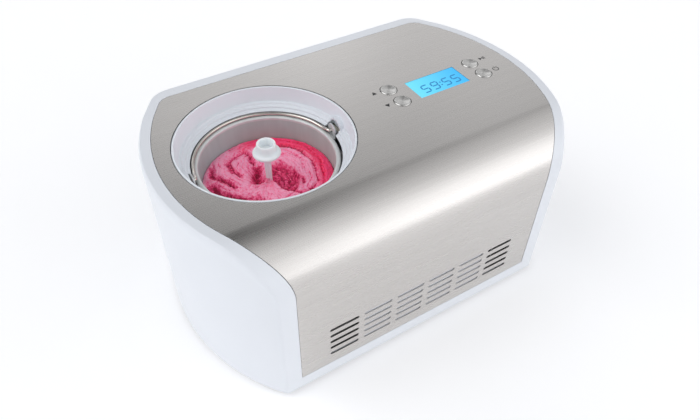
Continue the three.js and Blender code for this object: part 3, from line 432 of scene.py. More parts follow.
def moulded(name, colour, roughness, grain=900.0, height=0.02, shift=0.94, **settings):
    """Moulded plastic, rubber, enamel or paint: fine grain and faint cloudiness."""
    finish = Finish(name, colour, roughness, **settings)
    finish.vary_colour(finish.noise(14.0), [channel * shift for channel in colour])
    finish.vary_roughness(finish.noise(60.0), 0.02)
    finish.bump(finish.noise(grain, detail=2.0), height)
    return finish.material


def brushed(name, colour, roughness, stretch, height=0.006, shift=0.93, **settings):
    """Metal with drawn-out grain: stretch is small along the grain."""
    finish = Finish(name, colour, roughness, 1.0, **settings)
    fine = finish.noise(900.0, stretch, detail=4.0, rough=0.6)
    broad = finish.noise(120.0, stretch, detail=3.0)
    finish.vary_colour(broad, [channel * shift for channel in colour])
    finish.vary_roughness(fine, 0.05)
    finish.bump(fine, height)
    return finish.material


def spun(name, colour, roughness, rings=1400.0, height=0.01, **settings):
    """Turned metal: fine rings round the piece's upright axis."""
    finish = Finish(name, colour, roughness, 1.0, **settings)
    marks = finish.rings(rings, 1.5, 2.0)
    finish.vary_colour(marks, [channel * 0.86 for channel in colour])
    finish.bump(marks, height)
    return finish.material


def steel_wrap():
    """Brushed stainless steel with its grain along the long side."""
    finish = Finish("steel_wrap", (0.592, 0.570, 0.550), 0.28, 1.0,
                    Anisotropic=0.5, Anisotropic_Rotation=0.25)
    grain_axis = finish.node("ShaderNodeCombineXYZ", {"X": 1.0})
    finish.link(grain_axis.outputs["Vector"], finish.shader.inputs["Tangent"])
    fine = finish.noise(1500.0, (0.012, 1, 1), detail=4.0, rough=0.65)
    broad = finish.noise(160.0, (0.03, 1, 1), detail=4.0, rough=0.6)
    finish.vary_colour(broad, (0.617, 0.594, 0.573))
    finish.vary_roughness(fine, 0.025)
    finish.bump(fine, 0.0013)
    return finish.material


def anodised_bowl():
    """Matt anodised aluminium: lighter on its rim, with a green-grey painted down the inner wall to cancel
    the pink light the ice cream casts there.
    """
    finish = Finish("bowl_aluminium", (0.50, 0.505, 0.50), 0.50, 0.2)
    place = finish.node("ShaderNodeTexCoord").outputs["Object"]
    axes = finish.node("ShaderNodeSeparateXYZ", {"Vector": place}).outputs
    flat = finish.node("ShaderNodeCombineXYZ", {"X": axes["X"], "Y": axes["Y"]}).outputs["Vector"]
    axis = Vector((BOWL_X, BOWL_Y, 0)) * MM
    away = finish.node("ShaderNodeVectorMath", {0: flat, 1: axis}, operation="DISTANCE")
    inner = finish.spread(away.outputs["Value"], 1.0, 0.0, BOWL_WALL_IN * MM, BOWL_WALL_OUT * MM)
    rim = finish.spread(axes["Z"], 0.0, 1.0, (TOP - BOWL_RIM_LOW) * MM, (TOP - BOWL_RIM_HIGH) * MM)
    marks = finish.spread(finish.noise(90.0, (1, 1, 0.2), detail=3.0), 0.94, 1.06)
    # A green-grey painted down the inner wall cancels the pink light the ice cream casts there.
    wall = finish.blend(inner, finish.colour[:3], (0.45, 0.59, 0.555))
    tinted = finish.blend(rim, wall, (0.66, 0.675, 0.67))
    shaded = finish.node("ShaderNodeVectorMath", {0: tinted}, operation="SCALE")
    finish.link(marks, shaded.inputs["Scale"])
    finish.link(shaded.outputs["Vector"], finish.shader.inputs["Base Color"])
    finish.vary_roughness(finish.noise(700.0, LATHE_GRAIN, detail=4.0), 0.04)
    finish.bump(finish.noise(900.0, LATHE_GRAIN, detail=4.0), 0.004)
    return finish.material


def spun_button():
    """Polished button: fine rings round its axis and a stretched highlight."""
    finish = Finish("spun_button", (0.70, 0.69, 0.67), 0.30, 1.0, Anisotropic=0.9, Anisotropic_Rotation=0.25)
    marks = finish.rings(14.0, 0.4, 1.0)
    finish.vary_colour(marks, (0.56, 0.55, 0.535))
    finish.bump(marks, 0.006)
    return finish.material


def milky_plastic():
    """Slightly translucent white plastic."""
    finish = Finish("milky_plastic", (0.84, 0.88, 0.90), 0.32,
                    Subsurface_Weight=0.35, Subsurface_Radius=(1.0, 1.1, 1.2), Subsurface_Scale=0.004)
    finish.vary_roughness(finish.noise(150.0), 0.05)
    finish.bump(finish.noise(700.0), 0.015)
    return finish.material


def lit_display():
    """Backlit liquid crystal: cyan, brighter towards its left end."""
    finish = Finish("lit_display", (0.01, 0.16, 0.26), 0.12, Emission_Strength=0.85)
    low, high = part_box("lcd_window")
    place = finish.node("ShaderNodeTexCoord").outputs["Object"]
    parts = finish.node("ShaderNodeSeparateXYZ", {"Vector": place})
    across = finish.spread(parts.outputs["X"], 0.0, 1.0, low.x, high.x)
    ramp = finish.node("ShaderNodeValToRGB", {"Fac": across})
    ramp.color_ramp.elements[0].color = (0.16, 0.74, 0.95, 1)
    ramp.color_ramp.elements[1].color = (0.008, 0.40, 0.84, 1)
    finish.link(ramp.outputs["Color"], finish.shader.inputs["Emission Color"])
    return finish.material


def display_segment():
    """Dark blue bars of the display's digits, faintly lit from behind."""
    finish = Finish("display_segment", (0.0, 0.10, 0.20), 0.2,
                    Emission_Color=(0.0, 0.16, 0.45, 1), Emission_Strength=0.7)
    finish.vary_roughness(finish.noise(300.0), 0.05)
    return finish.material


def berry_ice():
    """Frozen berry mix: pale pink, with painted light on its raised bits, painted shade in its folds and
    hollows, and red near the wall.
    """
    # The mix glows faintly in its own colour: painted fill light.
    finish = Finish("berry_ice", (0.90, 0.26, 0.44), 0.34, Emission_Strength=0.10,
                    Subsurface_Weight=0.12, Subsurface_Radius=(1.0, 0.35, 0.4), Subsurface_Scale=0.002)
    painted_shade = finish.node("ShaderNodeAttribute", attribute_name="painted_shade").outputs["Fac"]
    red = finish.node("ShaderNodeAttribute", attribute_name="red").outputs["Fac"]
    crystals = finish.noise(430.0, detail=5.0, rough=0.75)
    speckle = finish.spread(crystals, 0.26, -0.30, 0.36, 0.64)
    shade_of = finish.node("ShaderNodeMath", {0: painted_shade, 1: speckle}, operation="ADD").outputs[0]

    # Each ramp runs from the mix's lit colour down to the colour of its painted shade.
    def ramp(*colours):
        made = finish.node("ShaderNodeValToRGB", {"Fac": shade_of})
        stops = made.color_ramp.elements
        stops[0].color = (*colours[0], 1)
        stops[1].color = (*colours[-1], 1)
        for i, colour in enumerate(colours[1:-1], 1):
            stops.new(i / (len(colours) - 1)).color = (*colour, 1)
        return made.outputs["Color"]

    pink = ramp((1.0, 0.37, 0.55), (0.90, 0.13, 0.30), (0.66, 0.015, 0.12), (0.25, 0.001, 0.03))
    ripe = ramp((0.98, 0.050, 0.18), (0.92, 0.020, 0.11), (0.70, 0.007, 0.075), (0.30, 0.001, 0.03))
    mixed = finish.blend(red, pink, ripe)
    finish.link(mixed, finish.shader.inputs["Base Color"])
    # The same colour glows faintly: painted fill light.
    finish.link(mixed, finish.shader.inputs["Emission Color"])
    finish.bump(crystals, 0.9, 1.0)
    return finish.material


WHITE = (0.735, 0.76, 0.805)
LATHE_GRAIN = (1, 1, 0.05)  # stretch of the noise: grain along the height of a turned piece


def make_materials():
    """One material for each slot of the record, by slot name."""
    return {
        "casing": moulded("white_plastic", WHITE, 0.30, height=0.010, shift=0.98),
        "panel": steel_wrap(),
        "base": moulded("grey_plastic", (0.30, 0.31, 0.32), 0.55, height=0.05),
        "foot": moulded("black_rubber", (0.020, 0.020, 0.022), 0.80, height=0.06),
        "screw": spun("zinc_screw", (0.55, 0.56, 0.58), 0.32, rings=30.0),
        "collar": moulded("collar_plastic", (0.765, 0.80, 0.845), 0.34, height=0.010, shift=0.98),
        "well": brushed("pressed_aluminium", (0.60, 0.61, 0.62), 0.38, LATHE_GRAIN),
        "foam": moulded("rigid_foam", (0.60, 0.57, 0.48), 0.95, grain=260.0, height=0.8, shift=0.8),
        "coil": brushed("copper_tube", (0.72, 0.34, 0.19), 0.28, (1, 1, 1), shift=0.8),
        "bowl": anodised_bowl(),
        "ear": moulded("ear_aluminium", (0.66, 0.67, 0.675), 0.36, Metallic=0.3),
        "wire": brushed("bail_wire", (0.70, 0.66, 0.60), 0.16, (1, 1, 1), height=0.003),
        "paddle": milky_plastic(),
        "shaft": brushed("ground_steel", (0.60, 0.60, 0.59), 0.24, (1, 1, 0.2)),
        "gear": moulded("nylon_gear", (0.70, 0.65, 0.52), 0.42, height=0.02),
        "gearbox": moulded("filled_plastic", (0.14, 0.145, 0.15), 0.50, height=0.04),
        "bush": brushed("sintered_bronze", (0.58, 0.40, 0.17), 0.45, (1, 1, 1), height=0.03),
        "seal": moulded("seal_rubber", (0.02, 0.02, 0.022), 0.7, height=0.03),
        "motor": brushed("zinc_can", (0.50, 0.51, 0.53), 0.35, LATHE_GRAIN),
        "compressor": moulded("black_enamel", (0.012, 0.012, 0.014), 0.28, height=0.03, Coat_Weight=0.4),
        "condenser": brushed("fin_aluminium", (0.62, 0.63, 0.64), 0.34, (1, 1, 0.05)),
        "fan": moulded("fan_plastic", (0.018, 0.018, 0.02), 0.45, height=0.02),
        "button": spun_button(),
        "board": moulded("board_laminate", (0.015, 0.12, 0.055), 0.35, height=0.03, shift=0.7),
        "display": lit_display(),
        "electrics": moulded("black_plastic", (0.016, 0.016, 0.018), 0.42, height=0.03),
        "capacitor": moulded("capacitor_can", (0.62, 0.62, 0.65), 0.35, height=0.01),
        "segment": display_segment(),
        "print": moulded("printed_ink", (0.02, 0.02, 0.022), 0.5, height=0.005),
        "ice": berry_ice(),
    }


# ---- Casing and steel panel -------------------------------------------------------

SHOULDER_STEPS = 28
END_STEPS = 30
RIM_STEPS = 8


def half_outline(side=0.0, front=0.0, rear=0.0, front_corner=FRONT_CORNER, rear_corner=REAR_CORNER):
    """Right half of the plan outline, from the front corner round to the rear one."""
    end_radius = END_RADIUS - side

    def corner(edge_y, radius):
        y = edge_y - math.copysign(radius, edge_y)
        x = END_CENTRE + math.sqrt((end_radius - radius) ** 2 - y ** 2)
        return x, y, math.degrees(math.atan2(y, x - END_CENTRE))

    low_x, low_y, low_turn = corner(FRONT_Y + front, front_corner)
    high_x, high_y, high_turn = corner(REAR_Y - rear, rear_corner)
    shoulder_y = FRONT_Y + SHOULDER
    start_y = end_radius * math.sin(math.radians(low_turn))
    start = math.acos(min((shoulder_y - start_y) / SHOULDER, 1))
    stations = []
    for i in range(1, SHOULDER_STEPS + 1):
        turn = start + (math.pi / 2 - start) * i / SHOULDER_STEPS
        stations.append(shoulder_y - SHOULDER * math.cos(turn))
    for i in range(1, END_STEPS):
        stations.append(shoulder_y + (high_y - shoulder_y) * i / END_STEPS)
    return [
        *arc(low_x, low_y, front_corner, -90, low_turn, 6),
        *[(END_CENTRE + math.sqrt(end_radius ** 2 - y ** 2), y) for y in stations],
        *arc(high_x, high_y, rear_corner, high_turn, 90, 12),
    ]


def full_outline(**insets):
    half = half_outline(**insets)
    return half + [(-x, y) for x, y in reversed(half)]


def surface_z(y, inset):
    """Height of the top and shoulder at y, sunk by an inset."""
    below = FRONT_Y + SHOULDER - y
    if below <= 0:
        return TOP - inset
    return TOP - SHOULDER + math.sqrt(max((SHOULDER - inset) ** 2 - below ** 2, 0))


def casing_block(sunk, bottom, edge, **insets):
    """A block with the casing's plan, flat top and round shoulder, its top edge softened by edge."""
    rings = [[(x, y, bottom) for x, y in half_outline(**insets)]]
    steps = RIM_STEPS if edge else 0
    for k in range(steps + 1):
        turn = k / steps * math.pi / 2 if steps else 0
        inward = edge * RIM_INSET * (1 - math.cos(turn))
        drop = edge * RIM_DROP * (1 - math.sin(turn))
        ring = half_outline(**{
            **insets,
            "side": insets.get("side", 0) + inward,
            "rear": insets.get("rear", 0) + inward,
            "rear_corner": insets.get("rear_corner", REAR_CORNER) - inward,
        })
        level = [(surface_z(y, 0) - (TOP - SHOULDER)) / SHOULDER for _, y in ring]
        rings.append([(x, y, surface_z(y, sunk) - drop * share)
                      for (x, y), share in zip(ring, level)])
    loops = [half + [(-x, y, z) for x, y, z in reversed(half)] for half in rings]
    points, faces = loft(loops, capped=False)
    count = len(rings[0])
    last = len(points) - 2 * count
    for i in range(count - 1):
        j = 2 * count - 1 - i
        faces.append([i, j, j - 1, i + 1])
        faces.append([last + i, last + i + 1, last + j - 1, last + j])
    return points, faces


def bent_layer(upper, lower, rear_y, bottom_z):
    """A layer between two depths, over the top, the shoulder and the front."""
    y, z = FRONT_Y + SHOULDER, TOP - SHOULDER
    steps = 12
    flat = [y + (rear_y - y) * i / steps for i in range(1, steps + 1)]
    upright_z = [bottom_z + (z - bottom_z) * i / steps for i in range(steps)]
    section = [
        *[(v, TOP - upper) for v in reversed(flat)],
        *arc(y, z, SHOULDER - upper, 90, 180, 40),
        *[(FRONT_Y + upper, v) for v in reversed(upright_z)],
        *[(FRONT_Y + lower, v) for v in upright_z],
        *arc(y, z, SHOULDER - lower, 180, 90, 40),
        *[(v, TOP - lower) for v in flat],
    ]
    return prism(section, SHELL_LOW.x, SHELL_HIGH.x, along_x)


def panel_region(gap, bottom=0.0):
    """Plan region of the steel panel above a height, drawn in by a gap."""
    outline = full_outline(
        side=SEAM_SIDE + gap, front=-5, rear=SEAM_REAR + gap, front_corner=1, rear_corner=SEAM_CORNER
    )
    return prism(outline, bottom, TOP + 5)


def slot(x, z, length, height):
    """Outline in XZ of a slot with round ends."""
    reach, radius = (length - height) / 2, height / 2
    return [*arc(x + reach, z, radius, -90, 90, 8), *arc(x - reach, z, radius, 90, 270, 8)]


def vent_x(column):
    return VENT_MIDDLE_X + (column - (VENT_COLUMNS - 1) / 2) * VENT_PITCH_X


def vent_windows():
    """Holes behind the vents: open at the end columns, with a ledge in each slot elsewhere."""
    reach, clear = VENT_LENGTH / 2 + 0.75, VENT_HEIGHT / 2 + 0.3
    rows = [VENT_LOW_Z + k * VENT_PITCH_Z for k in range(VENT_ROWS)]
    holes = []
    for column in range(VENT_COLUMNS):
        x = vent_x(column)
        if column in (0, VENT_COLUMNS - 1):
            spans = [(rows[0] - clear, rows[-1] + clear)]
        else:
            spans = [(z - LEDGE_DROP, z + clear) for z in rows]
        holes += [block((x - reach, FRONT_Y - OVERCUT, low), (x + reach, FRONT_Y + 8, high))
                  for low, high in spans]
    return holes


def button_holes(gap, sides, depth):
    """Round holes for the buttons, cut down to a depth below the flat top."""
    rims = [circle(BUTTON_RADIUS + gap, sides, *middle("button_" + name).xy) for name in BUTTONS]
    return [prism(rim, TOP - depth, TOP + OVERCUT) for rim in rims]


def display_hole(gap, depth):
    """Hole for the display window, cut down to a depth below the flat top."""
    low, high = box_mm("lcd_window")
    return block((low.x - gap, low.y - gap, TOP - depth), (high.x + gap, high.y + gap, TOP + OVERCUT))


def build_casing(finish):
    casing = make("casing", casing_block(0, FOOT_HEIGHT, 1), "housing", finish["casing"],
                  replaces=["shell"])
    inner = casing_block(WALL, FOOT_HEIGHT - 5, 0, side=WALL, front=WALL, rear=WALL,
                         front_corner=FRONT_CORNER - WALL, rear_corner=REAR_CORNER - WALL)
    carve(casing, inner)
    seat = new_object("seat", bent_layer(-4, PANEL_SEAT, REAR_Y, PANEL_FOOT))
    carve(seat, panel_region(0), "INTERSECT")
    groove_floor = PANEL_SEAT + GROOVE_DEPTH
    groove = new_object("groove", bent_layer(PANEL_SEAT - 0.5, groove_floor, REAR_Y, PANEL_FOOT))
    carve(groove, panel_region(0), "INTERSECT")
    carve(groove, panel_region(GROOVE_WIDTH, PANEL_FOOT + GROOVE_WIDTH))
    carve_with(casing, seat)
    carve_with(casing, groove)

    rear = []
    for i in range(REAR_SLOTS):
        z = REAR_SLOT_LOW_Z + REAR_SLOT_PITCH * i
        outline = slot(REAR_SLOT_X, z, REAR_SLOT_LENGTH, REAR_SLOT_HEIGHT)
        rear.append(prism(outline, REAR_Y - 2 * OVERCUT, REAR_Y + OVERCUT, along_y))
    display = display_hole(0.9, 2 * OVERCUT)
    opening = prism(circle(OPENING_RADIUS + HOLE_GAP, 128, BOWL_X, BOWL_Y), TOP - 12, TOP + OVERCUT)
    inlet = middle("mains_inlet")
    socket = block((inlet.x - INLET_REACH_X, REAR_Y - 2 * OVERCUT, inlet.z - INLET_REACH_Z),
                   (inlet.x + INLET_REACH_X, REAR_Y + OVERCUT, inlet.z + INLET_REACH_Z))
    buttons = button_holes(HOLE_GAP, 32, 2 * OVERCUT)
    carve(casing, together(*vent_windows(), *rear, *buttons, display, opening, socket))
    shade(casing, 28, bevel=0.35)


def build_panel(finish):
    panel = make("steel_wrap", bent_layer(0, PANEL_THICK, REAR_Y, PANEL_LOW.z), "housing",
                 finish["panel"], replaces=["steel_panel"])
    carve(panel, panel_region(SEAM_GAP), "INTERSECT")
    vents = [
        prism(slot(vent_x(i), VENT_LOW_Z + k * VENT_PITCH_Z, VENT_LENGTH, VENT_HEIGHT),
              FRONT_Y - OVERCUT, FRONT_Y + OVERCUT, along_y)
        for i in range(VENT_COLUMNS) for k in range(VENT_ROWS)
    ]
    opening = prism(circle(OPENING_RADIUS, 160, BOWL_X, BOWL_Y), TOP - 2 * OVERCUT, TOP + OVERCUT)
    buttons = button_holes(0.5, 48, OVERCUT)
    carve(panel, together(*vents, display_hole(0.3, OVERCUT), *buttons, opening))
    shade(panel, 30, bevel=0.2)


# ---- Opening: collar, bowl, bail ---------------------------------------------------


def build_collar(finish):
    lip = arc(81.6, TOP - 0.9, 1.1, 150, 20, 6)
    profile = [
        *below_top([(69.8, 21.7), (70.1, 22.0), (74.2, 22.2), (76.6, 19.4), (80, 16.4), (82.4, 13),
                    (82.4, 7.6), (92, 7.6), (92, 5.6), (82.4, 5.6), (82.4, 1.6)]),
        *reversed(lip),
        *below_top([(80.7, 2.4), (79.0, 14.0), (78.6, 15.0), (76.5, 15.6), (75.6, 17),
                    (74.0, 17.5), (73.2, 18.1), (72.8, 19.6), (72.2, 20.1), (70.1, 20.7), (69.8, 21.0)]),
    ]
    collar = make("collar", lathe(profile, 144, (BOWL_X, BOWL_Y), closed=True), "housing",
                  finish["collar"], replaces=["bowl_ring"])
    pivot_y, pivot_z = BOWL_Y + PIVOT_Y, TOP - PIVOT_DEPTH
    pads, pockets = [], []
    for side in (-1, 1):
        for shapes, near, far, radius, depth in (
            (pads, 74.6, 81.5, NOTCH_RADIUS + 2, 21.5),
            (pockets, 66, 78.5, NOTCH_RADIUS, 24),
        ):
            outline = [(pivot_y - radius, TOP - depth), (pivot_y + radius, TOP - depth),
                       *arc(pivot_y, pivot_z, radius, 0, 180, 28)]
            shapes.append(prism(outline, *sorted((BOWL_X + side * near, BOWL_X + side * far)), along_x))
    carve(collar, together(*pads), "UNION")
    carve(collar, together(*pockets))
    shade(collar, 25, bevel=0.3)


def build_bowl(finish):
    chimney = 92
    profile = below_top([
        (7.2, 125.6), (59, 125.6), (61.5, 124.8), (63.3, 123), (64, 121), (64.8, 30), (64.9, 27.4),
        (66.9, 27.2), (67.8, 26.7), (68.2, 25.8), (68.0, 25.0), (67.3, 24.45), (66, 24.25), (65, 24.3),
        (64.2, 24.6), (63.5, 25.5), (63.2, 31), (62.6, 119.6), (61.9, 121.9), (60.3, 123.5), (58, 124.1),
        (8.8, 124.1), (8.8, chimney), (7.2, chimney),
    ])
    bowl = make("mix_bowl", lathe(profile, 128, (BOWL_X, BOWL_Y), closed=True), "bowl",
                finish["bowl"], replaces=["bowl"])
    shade(bowl, 32, bevel=0.25)


def build_ear(finish, name, side):
    """Bracket on the outside of the bowl that carries one end of the bail."""
    bent = [(65.2, 38), (66.8, 38), (66.8, 32.3), (72, 27.2), (72, 12), (70.3, 12), (70.3, 26.5),
            (65.2, 31.6)]
    strip = prism([(side * x, TOP - depth) for x, depth in bent], -20, 20, along_y)
    pivot_z = TOP - PIVOT_DEPTH
    face = [(-EAR_RADIUS, TOP - 40), (EAR_RADIUS, TOP - 40), *arc(0, pivot_z, EAR_RADIUS, 0, 180, 24)]
    plate = prism([(y + PIVOT_Y, z) for y, z in face], -100, 100, along_x)
    eye = prism(circle(WIRE_RADIUS + 0.3, 24, PIVOT_Y, pivot_z), -100, 100, along_x)
    ear = make("ear_" + name, strip, "bowl", finish["ear"], replaces=["bowl_ear_" + name])
    carve(ear, plate, "INTERSECT")
    carve(ear, eye)
    ear.data.transform(Matrix.Translation(Vector((BOWL_X, BOWL_Y, 0)) * MM))
    shade(ear, 30, bevel=0.3)


def build_bail(finish):
    """Wire handle: a half ring behind the rim whose ends turn out into the ears."""
    pivot_z = TOP - PIVOT_DEPTH
    end = [(73.8, PIVOT_Y, pivot_z), (70.6, PIVOT_Y, pivot_z), (68.4, PIVOT_Y + 0.8, pivot_z),
           (67.4, PIVOT_Y + 3.8, pivot_z - 0.3)]
    ring = [(x, y, TOP - 22.6) for x, y in arc(0, 0, 67.6, 12, 168, 13)]
    route = [*end, *ring, *[(-x, y, z) for x, y, z in reversed(end)]]
    route = [(x + BOWL_X, y + BOWL_Y, z) for x, y, z in route]
    bail = make("bail", sweep(curve_points(route, 6), WIRE_RADIUS, 16), "handle", finish["wire"],
                replaces=["bowl_handle"])
    shade(bail, 40)


# ---- Paddle and ice cream -----------------------------------------------------------


def build_paddle(finish):
    hub = below_top([
        (0, 72), (2.9, 72), (2.9, 50), (3.5, 23), (6.2, 21.5), (9.4, 20.2), (12.3, 18.7), (13.1, 17.5),
        (13.1, 16.3), (12.3, 15.2), (10.4, 14.4), (9.5, 13.2), (9.2, 11), (8.9, 7), (8.6, 6.2),
        (8.1, 5.9), (7.5, 6.1), (7.0, 6.8), (6.5, 13), (6.0, 14), (0, 14),
    ])
    sleeve = below_top([(9.4, 123.2), (12, 123.2), (12, 74), (8, 70), (2, 70), (2, 74.5), (9.4, 74.5)])
    crown = below_top([(0, 90.5), (10.5, 90.5), (10.5, 71), (0, 71)])
    blade = below_top([(10.5, 122.8), (55, 122.8), (60.5, 118), (61.4, 68), (52, 64), (40, 84), (10.5, 94)])
    window = below_top([(20, 114), (50, 114), (51.5, 84), (44, 94), (20, 102)])
    rake = below_top([(-10.5, 122.8), (-10.5, 100), (-34, 96), (-48, 70), (-58, 70), (-60.5, 118),
                      (-55, 122.8)])
    notch = below_top([(-46, 114), (-22, 114), (-22, 107), (-40, 102)])
    paddle = make("stirrer", lathe(hub, 64), "paddle", finish["paddle"], replaces=["paddle"])
    carve(paddle, lathe(sleeve, 48, closed=True), "UNION")
    carve(paddle, lathe(crown, 40), "UNION")
    for outline, hole in ((blade, window), (rake, notch)):
        carve(paddle, prism(outline, -1.5, 1.5, along_y), "UNION")
        carve(paddle, prism(hole, -3, 3, along_y))
    carve(paddle, block((-4.3, -4.3, TOP - 95), (4.3, 4.3, TOP - 75)))
    turn = Matrix.Rotation(BLADE_TURN, 4, "Z")
    paddle.data.transform(Matrix.Translation(Vector((BOWL_X, BOWL_Y, 0)) * MM) @ turn)
    shade(paddle, 30, bevel=0.3)


ICE_RADIUS = 62.4
ICE_SEED = 3  # without a seed, noise_vector's offsets would change from run to run
ICE_EDGE = 56  # radius from which its surface falls to the bowl's wall
ICE_DEPTH = 47.5  # mean depth of its surface below the flat top
ICE_BOTTOM = 63.0  # depth of its flat underside
# Furrows left by the paddle: places in the bowl that each one passes through, its width and
# depth in millimetres, and how much painted shade darkens it.
FURROWS = (
    (((-2, 22), (-9, 10), (-12, -5)), 5.4, 9.0, 1.0),
    (((-5, 50), (-3, 38), (-6, 24)), 2.6, 4.0, 0.8),
    (((-2, 51), (-15, 43), (-25, 37)), 2.0, 2.6, 0.6),
    (((-25, 39), (-28, 27), (-23, 9)), 2.6, 4.2, 0.9),
    (((-40, 40), (-46, 29), (-41, 14), (-31, -1)), 2.6, 4.0, 0.9),
    (((-52, 18), (-50, 4), (-38, -12), (-19, -25)), 4.6, 4.6, 1.0),
    (((24, 0), (26, -15), (24, -25)), 1.8, 3.4, 0.8),
    (((10, -28), (20, -35), (33, -31)), 1.6, 2.6, 0.9),
    (((14, 45), (27, 41), (40, 27), (45, 8)), 2.2, 4.2, 1.0),
    (((45, 12), (46, -6), (38, -28)), 1.8, 2.4, 0.6),
    (((34, 47), (50, 26), (54, -2), (47, -24)), 1.6, 2.2, 0.6),
    (((30, 24), (37, 8), (35, -14)), 1.4, 1.4, 0.35),
)
FURROW_REACH = 45  # farther than this from its middle a furrow isn't felt
HOLLOW = (13, -5)  # middle of the hollow beside the stem
HOLLOW_REACH = (12.5, 23.0)  # its half sizes
HOLLOW_DEPTH = 9.0
MOUNDS = (  # places in the bowl, heights and radii of the swells
    (-34, 18, 5.5, 24),
    (34, 14, 3.5, 20),
    (-8, -14, 3.0, 12),
)
SWIRL_PITCH = 6.5  # from one layer of the swirl to the next


def smooth_step(value, low, high):
    share = min(max((value - low) / (high - low), 0.0), 1.0)
    return share * share * (3 - 2 * share)


def furrow_lines():
    """Each furrow as flat points close together, with its width, depth and painted shade."""
    return [([point.xy for point in curve_points([(x, y, 0) for x, y in route], 6)], width, depth, painted_shade)
            for route, width, depth, painted_shade in FURROWS]


def furrow_at(place, lines):
    """How far the furrows lower the surface at a place, and how much painted shade they put there."""
    lowered = furrow_shade = 0.0
    for points, width, depth, painted_shade in lines:
        if (place - points[len(points) // 2]).length > FURROW_REACH:
            continue
        steps = len(points) - 1
        away, nearest = min(((place - point).length, k) for k, point in enumerate(points))
        fade = smooth_step(min(nearest, steps - nearest) / steps, -0.12, 0.22)
        near = math.exp(-(away / width) ** 1.5) * fade
        lowered += depth * near
        # Painted shade along the furrow, strongest at its middle line.
        furrow_shade = max(furrow_shade, painted_shade * math.exp(-(away / (width * 1.15)) ** 2) * fade)
    return lowered, furrow_shade


def ice_height(x, y, lines):
    """Height of the ice cream's surface above its mean, its painted shade and its redness."""
    wander = noise.noise_vector(Vector((x, y, 3.0)) / 13) * 2.6
    place = Vector((x + wander.x, y + wander.y))
    lowered, painted_shade = furrow_at(place, lines)

    hollow = math.hypot((place.x - HOLLOW[0]) / HOLLOW_REACH[0], (place.y - HOLLOW[1]) / HOLLOW_REACH[1])
    inside = smooth_step(hollow, 1.08, 0.72)
    lowered += HOLLOW_DEPTH * inside
    # Painted shade in the hollow, deepest towards its rear right, where its wall faces away from the light.
    shadowed_side = smooth_step(place.y + 0.8 * place.x, -10, 25)
    painted_shade = max(painted_shade, 0.62 * inside + 0.38 * shadowed_side * smooth_step(hollow, 0.62, 0.86) * inside)

    radius = math.hypot(x, y)
    turn = (math.degrees(math.atan2(place.y, place.x)) + 90) % 360 - 90
    coil = 0.5 * min(max(turn - 90, 0), 130) * smooth_step(turn, 270, 220)
    across = place.length + coil + 2.5 * noise.noise(Vector((x, y, 7.0)) / 11)
    share = 0.5 + 0.9 * noise.noise(Vector((x, y, 20.0)) / 15)
    layer = abs(math.sin(math.pi * across / SWIRL_PITCH))
    fibre = noise.fractal(Vector((across * 0.95, x / 9, y / 9)), 0.8, 2.2, 3)
    grain = noise.fractal(Vector((x, y, 9.0)) / 2.6, 0.7, 2.1, 3)
    mound = sum(rise * math.exp(-((x - at_x) ** 2 + (y - at_y) ** 2) / size ** 2)
                for at_x, at_y, rise, size in MOUNDS)
    height = mound + 1.5 * share * (layer - 0.6) + 0.75 * fibre + 0.55 * grain - lowered

    # Painted shade in the swirl's creases, and painted light on its raised fibres and grain.
    painted_shade += 0.42 * max(share, 0) * smooth_step(layer, 0.45, 0.05)
    painted_shade -= 0.28 * fibre + 0.20 * grain
    band = smooth_step(radius, 44, 52)
    side = math.cos(math.radians(turn - 22))
    red = band * smooth_step(side, 0.05, 0.55)
    return height, min(max(painted_shade, 0.0), 1.0), red


def build_ice_cream(finish):
    """The frozen mix in the bowl, with the paddle's blades inside it."""
    noise.seed_set(ICE_SEED)
    rings, sides = 130, 380
    points, faces, painted_shades, reds = [], [], [], []
    lines = furrow_lines()

    def ring_of(radius, z):
        for i in range(sides):
            turn = 2 * math.pi * i / sides
            x, y = radius * math.cos(turn), radius * math.sin(turn)
            height, painted_shade, red = ice_height(x, y, lines)
            edge = max((radius - ICE_EDGE) / (ICE_RADIUS - ICE_EDGE), 0.0)
            top = TOP - ICE_DEPTH + height * (1 - 0.35 * edge) - 2.2 * edge ** 3
            points.append((BOWL_X + x, BOWL_Y + y, top if z is None else z))
            painted_shades.append(painted_shade)
            reds.append(red)

    for k in range(1, rings + 1):
        ring_of(ICE_RADIUS * k / rings, None)
    ring_of(ICE_RADIUS, TOP - ICE_BOTTOM)
    for k in range(rings):
        for i in range(sides):
            j = (i + 1) % sides
            faces.append([k * sides + i, k * sides + j, (k + 1) * sides + j, (k + 1) * sides + i])
    faces.append(list(range(sides))[::-1])
    faces.append(list(range(rings * sides, (rings + 1) * sides)))
    ice = make("ice_cream", (points, faces), "paddle", finish["ice"])
    # Painted shade and redness for each point, read by the ice cream's material.
    for name, values in (("painted_shade", painted_shades), ("red", reds)):
        layer = ice.data.attributes.new(name, "FLOAT", "POINT")
        layer.data.foreach_set("value", values)
    shade(ice, 80)


# ---- Controls -------------------------------------------------------------------------


def build_buttons(finish):
    for name in BUTTONS:
        low, high = box_mm("button_" + name)
        x, y = middle("button_" + name).xy
        crown = high.z
        face = [(BUTTON_RADIUS - 1.5 - 0.9 * i, crown - 0.05 - 0.18 * i + 0.013 * i * i) for i in range(8)]
        profile = [(0, low.z), (2.5, low.z), (2.5, TOP - 7), (BUTTON_RADIUS, TOP - 7),
                   (BUTTON_RADIUS, crown - 1.0), (BUTTON_RADIUS - 0.2, crown - 0.5),
                   (BUTTON_RADIUS - 0.6, crown - 0.15), (BUTTON_RADIUS - 1.1, crown), *face,
                   (0, crown - 0.7)]
        cap = make("key_" + name, lathe(profile, 96, (x, y)), "button_" + name, finish["button"],
                   replaces=["button_" + name])
        shade(cap, 35)


SEGMENTS = {"5": "afgcd", "9": "abcfgd"}


